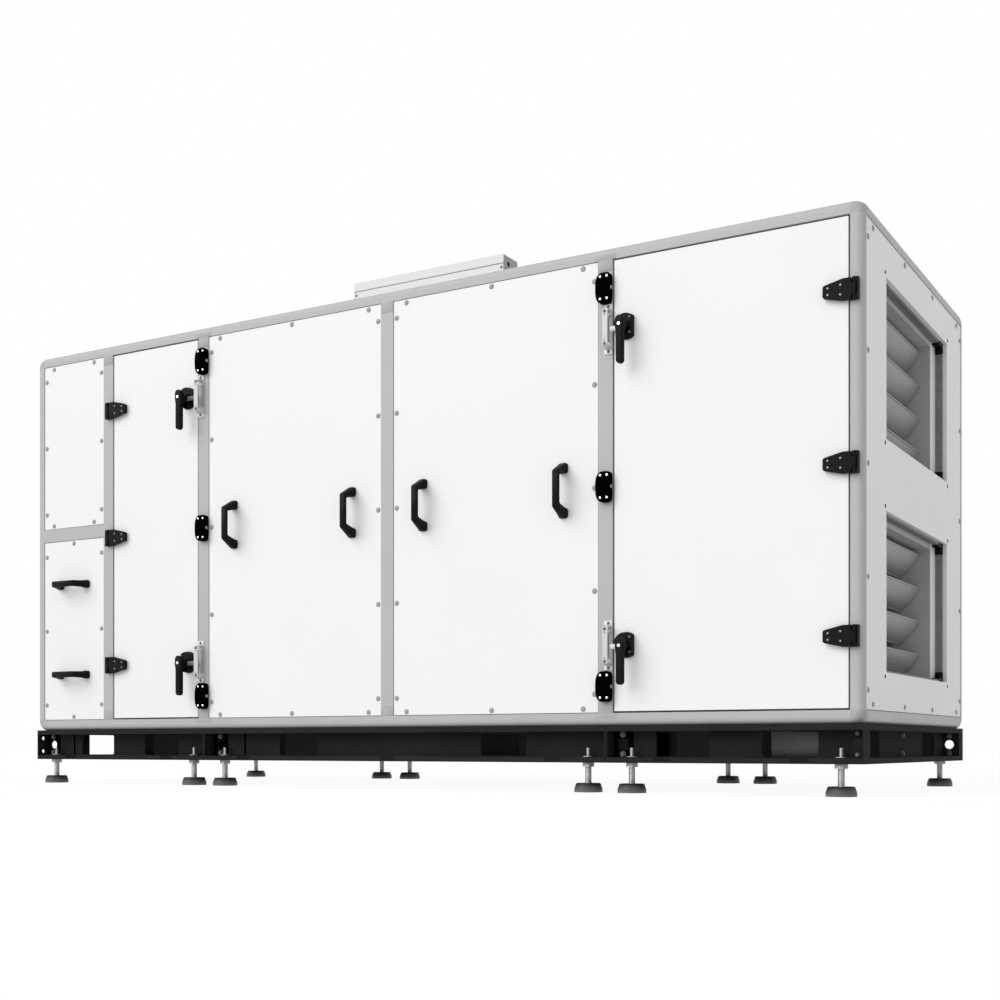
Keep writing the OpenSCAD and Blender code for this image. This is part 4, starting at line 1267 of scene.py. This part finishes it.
@dataclass
class BaseFrame:
    """The channel base with its levelling feet, joint bolts and doubler plates."""

    kit: Kit
    lefts: Sizes = metres(-1680, -794, 866)
    rights: Sizes = metres(-796, 864, 1680)
    middle: float = 152.0 * MM
    lift_in: float = 35.0 * MM
    web_in: float = 56.0 * MM
    web_t: float = 4.0 * MM
    bolt_up: Sizes = metres(-31, 31)
    doubler: Sizes = metres(4.5, 70)
    doubler_half: float = 39.0 * MM
    doubler_t: float = 3.0 * MM
    hole_half: float = 17.5 * MM
    seam: Sizes = metres(150, 155)
    fork_y: Sizes = metres(-340, 388)
    fork_half: float = 87.0 * MM
    fork_up: float = 40.0 * MM
    tab: Sizes = metres(59.8, 85.2)
    tab_y: Sizes = metres(-0.2, 4.2)
    beam_in: float = 89.0 * MM
    # The grey plate that paints the light on the middle cross beam: its thickness, its span across and half its
    # height.
    painted_light_t: Sizes = metres(-0.5, 2.5)
    painted_light_y: Sizes = metres(-246, 294)
    painted_light_up: float = 48.0 * MM

    def dress(self) -> None:
        """Coats the beams, studs and pads."""
        self.kit.shop.coat(BASE_PAINT, "base_side_beams", "base_cross_beams")
        self.kit.shop.coat(STUD_STEEL, "foot_studs")
        self.kit.shop.coat(RUBBER, "foot_pads")

    def span(self, half: float) -> Pair:
        """Gives the heights at a distance below and above the middle of the beams."""
        return self.middle - half, self.middle + half

    def fold_tabs(self) -> None:
        """Fills the folded tabs beside the fork pockets of the cross beams to the pockets' full height."""
        near, far = self.tab
        lap, thick = self.tab_y
        boxes: list[Box] = []
        for left, right in zip(self.lefts, self.rights):
            beam = (left + right) / 2 - self.beam_in
            for x, centre in product((left + near, right - far, beam + near), self.fork_y):
                boxes += [block((x, x + far - near), (y, y + thick - lap), self.span(self.fork_up))
                          for y in (centre - self.fork_half - thick, centre + self.fork_half + lap)]
        self.kit.shop.plates("fork_pocket_tabs", boxes, 0.3 * MM, "black_paint", BASE_PAINT)

    def panes(self) -> list[tuple[float, float, float, float]]:
        """Gives the parts of a doubler plate round its lifting hole, and the seam beyond it.

        Returns:
            The ends of each part along the beam, from the section's end, and up, from the beam's middle.
        """
        half, hole = self.doubler_half, self.hole_half
        start, end = self.doubler
        near, far = self.lift_in - hole, self.lift_in + hole
        return [(start, near, -half, half), (far, end, -half, half), (near, far, -half, -hole),
                (near, far, hole, half), (*self.seam, -half, half)]

    def build(self) -> None:
        """Sets the tabs, plugs, doubler plates, bolts and a grey plate of painted light on the web of a cross
        beam.
        """
        low, high = (corner.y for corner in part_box("base_side_beams"))
        webs = ((low + self.web_in, Facing.FRONT, -1.0), (high - self.web_in, Facing.REAR, 1.0))
        right, middle = self.rights[-1], self.middle
        plates: list[Box] = []
        bolts: list[Spot] = []
        small: list[Spot] = []
        for web, facing, out in webs:
            face = web + out * self.doubler_t
            plates += [block((left + x0, left + x1), (face, web - out * MM), (middle + z0, middle + z1))
                       for left in self.lefts for x0, x1, z0, z1 in self.panes()]
            bolts += [Spot(left + self.lift_in, face, middle + up, facing)
                      for left, up in product(self.lefts, self.bolt_up)]
            small += [Spot(right - self.lift_in, web, middle + up, facing) for up in self.bolt_up]
        inner = high - self.web_in - self.web_t
        bolts += [Spot(right - self.lift_in, inner, middle + up, Facing.FRONT) for up in self.bolt_up]
        bolts += [Spot(right - self.web_in, (low + high) / 2, middle + up, Facing.RIGHT)
                  for up in self.bolt_up]
        plugs = [Spot(end - self.lift_in, web, middle, facing)
                 for web, facing, _ in webs for end in self.rights[:2]]
        shop, fix = self.kit.shop, self.kit.fasteners
        self.fold_tabs()
        fix.set("lifting_hole_plugs", HOLE_PLUG, plugs)
        shop.plates("base_doubler_plates", plates, 0.25 * MM, "black_paint", PLATE_BLACK)
        fix.set("base_bolts", BASE_BOLT, bolts)
        fix.set("base_end_bolts", END_BOLT, small)
        # Painted light: a grey zinc plate on the black web of the middle cross beam, for the light that falls on
        # it through the fork pockets.
        beam = (self.lefts[-1] + right) / 2
        painted_light_plate = block([beam + side for side in self.painted_light_t], self.painted_light_y, self.span(self.painted_light_up))
        shop.plates("cross_beam_liner", [painted_light_plate], 0.4 * MM, "galvanised_steel", BOLT_STEEL)


@dataclass
class RoofBox:
    """The cable box on the roof, with its end plates, cable hole, seam and screws."""

    kit: Kit
    plate_t: float = 1.2 * MM
    plate_in: float = 3.0 * MM
    plate_up: float = 2.0 * MM
    seam_t: float = 0.5 * MM
    seam_h: float = 3.0 * MM
    hole_in: float = 30.0 * MM
    hole_up: float = 2.0 * MM
    screw_in: float = 7.0 * MM
    screw_drop: float = 15.0 * MM

    def dress(self) -> None:
        """Coats the box and its lid."""
        self.kit.shop.coat(BOX_PAINT, "roof_box", "roof_box_lid")

    def build(self) -> None:
        """Sets the end plates, the seam under the lid, the cable grommet and the screws."""
        low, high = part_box("roof_box")
        lid_low, lid_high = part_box("roof_box_lid")
        shop, fix = self.kit.shop, self.kit.fasteners
        left, right = lid_low.x - self.plate_t, lid_high.x + self.plate_t
        wide = (lid_low.y + self.plate_in, lid_high.y - self.plate_in)
        tall = (low.z + self.plate_up, lid_high.z - self.plate_in)
        ends = [block(span, wide, tall) for span in ((left, low.x + MM), (high.x - MM, right))]
        shop.plates("roof_box_end_plates", ends, 0.4 * MM, "frame_grey", BOX_END)
        seams = [block((low.x, high.x), (y, y + out * self.seam_t), (lid_low.z - self.seam_h, lid_low.z))
                 for y, out in ((low.y, -1.0), (high.y, 1.0))]
        shop.plates("roof_box_seams", seams, 0.1 * MM, "frame_grey", CAP_PLASTIC)
        hole = [Spot(right, low.y + self.hole_in, lid_low.z + self.hole_up, Facing.RIGHT)]
        fix.set("roof_box_grommet", GROMMET, hole)
        screws = [Spot(x, y, lid_low.z - self.screw_drop, facing)
                  for x in (low.x + self.screw_in, high.x - self.screw_in)
                  for y, facing in ((low.y, Facing.FRONT), (high.y, Facing.REAR))]
        fix.set("roof_box_screws", BOX_SCREW, screws)


@dataclass
class Studio:
    """The pale floor, the soft light and the camera.

    Each tone comes twice: what lights the unit, and what the camera sees, so that the background is white.
    """

    lens: float = 50.52
    sensor: float = 36.0
    stand: Sizes = (2.7864, -4.59975, 0.146)
    turn: float = 30.1
    lift: float = 0.2462
    far: float = 500.0
    sky: Pair = (0.62, 1.0)
    sun: float = 1.75
    sun_from: Sizes = (-0.5, -0.8, 0.6)
    sun_spread: float = 50.0
    floor_half: float = 60.0
    floor_paint: Pair = (0.3, 0.08)
    floor_glow: Pair = (0.37, 0.93)

    def build(self) -> None:
        """Makes the whole studio."""
        scene = bpy.context.scene
        scene.view_settings.view_transform = "Standard"
        self.light_world(scene)
        self.light_sun(scene)
        self.lay_floor(scene)
        self.set_camera(scene)

    @staticmethod
    def grey(desk: NodeDesk, kind: str, tone: float) -> Socket:
        """Lays a shader with a grey colour, and gives its output."""
        return desk.lay(kind, {"Color": (tone, tone, tone, 1.0)}).outputs[0]

    @staticmethod
    def split(desk: NodeDesk, lit: Socket, seen: Socket) -> Socket:
        """Lays the nodes that show one shader to camera, glossy and transmission rays, and one to the rest.

        Args:
            desk: The tree to lay them in.
            lit: The shader that lights the unit.
            seen: The shader that is seen.

        Returns:
            The socket with both.
        """
        rays = desk.lay("ShaderNodeLightPath").outputs
        share = desk.math("MAXIMUM", rays["Is Camera Ray"], rays["Is Glossy Ray"])
        share = desk.math("MAXIMUM", share, rays["Is Transmission Ray"])
        return desk.lay("ShaderNodeMixShader", {0: share, 1: lit, 2: seen}).outputs[0]

    def light_world(self, scene: bpy.types.Scene) -> None:
        """Makes an even sky that is white where it is seen.

        Args:
            scene: The scene to light.
        """
        scene.world = bpy.data.worlds.new("studio_sky")
        desk = NodeDesk.blank(scene.world)
        skies = [self.grey(desk, "ShaderNodeBackground", tone) for tone in self.sky]
        desk.lay("ShaderNodeOutputWorld", {"Surface": self.split(desk, *skies)})

    def light_sun(self, scene: bpy.types.Scene) -> None:
        """Makes the broad key light from the upper left of the front.

        Args:
            scene: The scene to light.
        """
        lamp = bpy.data.lights.new("broad_key", "SUN")
        lamp.energy = self.sun
        lamp.angle = math.radians(self.sun_spread)
        holder = bpy.data.objects.new("broad_key", lamp)
        holder.rotation_euler = Vector(self.sun_from).to_track_quat("Z", "Y").to_euler()
        scene.collection.objects.link(holder)

    def lay_floor(self, scene: bpy.types.Scene) -> None:
        """Lays the pale floor, white to the camera except where the unit shades it.

        Args:
            scene: The scene that gets the floor.
        """
        half = self.floor_half
        mesh = bpy.data.meshes.new("studio_floor")
        corners = [(-half, -half, 0.0), (half, -half, 0.0), (half, half, 0.0), (-half, half, 0.0)]
        mesh.from_pydata(corners, [], [(0, 1, 2, 3)])
        paint = bpy.data.materials.new("pale_floor")
        desk = NodeDesk.blank(paint)
        faces: list[Socket] = []
        for tone, glow in zip(self.floor_paint, self.floor_glow):
            paints = (
                self.grey(desk, "ShaderNodeBsdfDiffuse", tone), self.grey(desk, "ShaderNodeEmission", glow))
            faces.append(desk.lay("ShaderNodeAddShader", dict(enumerate(paints))).outputs[0])
        desk.lay("ShaderNodeOutputMaterial", {"Surface": self.split(desk, *faces)})
        mesh.materials.append(paint)
        floor = bpy.data.objects.new("studio_floor", mesh)
        scene.collection.objects.link(floor)

    def set_camera(self, scene: bpy.types.Scene) -> None:
        """Sets the camera where the photograph was taken from.

        Args:
            scene: The scene that gets the camera.
        """
        eye = bpy.data.cameras.new("front_right_eye")
        eye.lens = self.lens
        eye.sensor_width = self.sensor
        eye.sensor_fit = "HORIZONTAL"
        eye.shift_y = self.lift
        eye.clip_end = self.far
        holder = bpy.data.objects.new("front_right_eye", eye)
        holder.location = self.stand
        holder.rotation_euler = (math.radians(90.0), 0.0, math.radians(self.turn))
        scene.collection.objects.link(holder)
        scene.camera = holder


def main() -> None:
    """Builds the studio and every sub-assembly in order."""
    logging.basicConfig(level=logging.INFO, format="%(message)s")
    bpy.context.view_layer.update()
    Studio().build()
    shop = FinishShop()
    kit = Kit(shop, Fasteners(shop), SealRuns(shop))
    for part in (
        Casing(kit),
        Door(kit, Side.LEFT, metres(-1260, -820), *metres(-1276, -869)),
        Door(kit, Side.RIGHT, metres(890, 1640), *metres(1656, 939)),
        FrontFittings(kit),
        Dampers(kit),
        BaseFrame(kit),
        RoofBox(kit),
    ):
        part.dress()
        part.build()


if __name__ == "__main__":
    main()
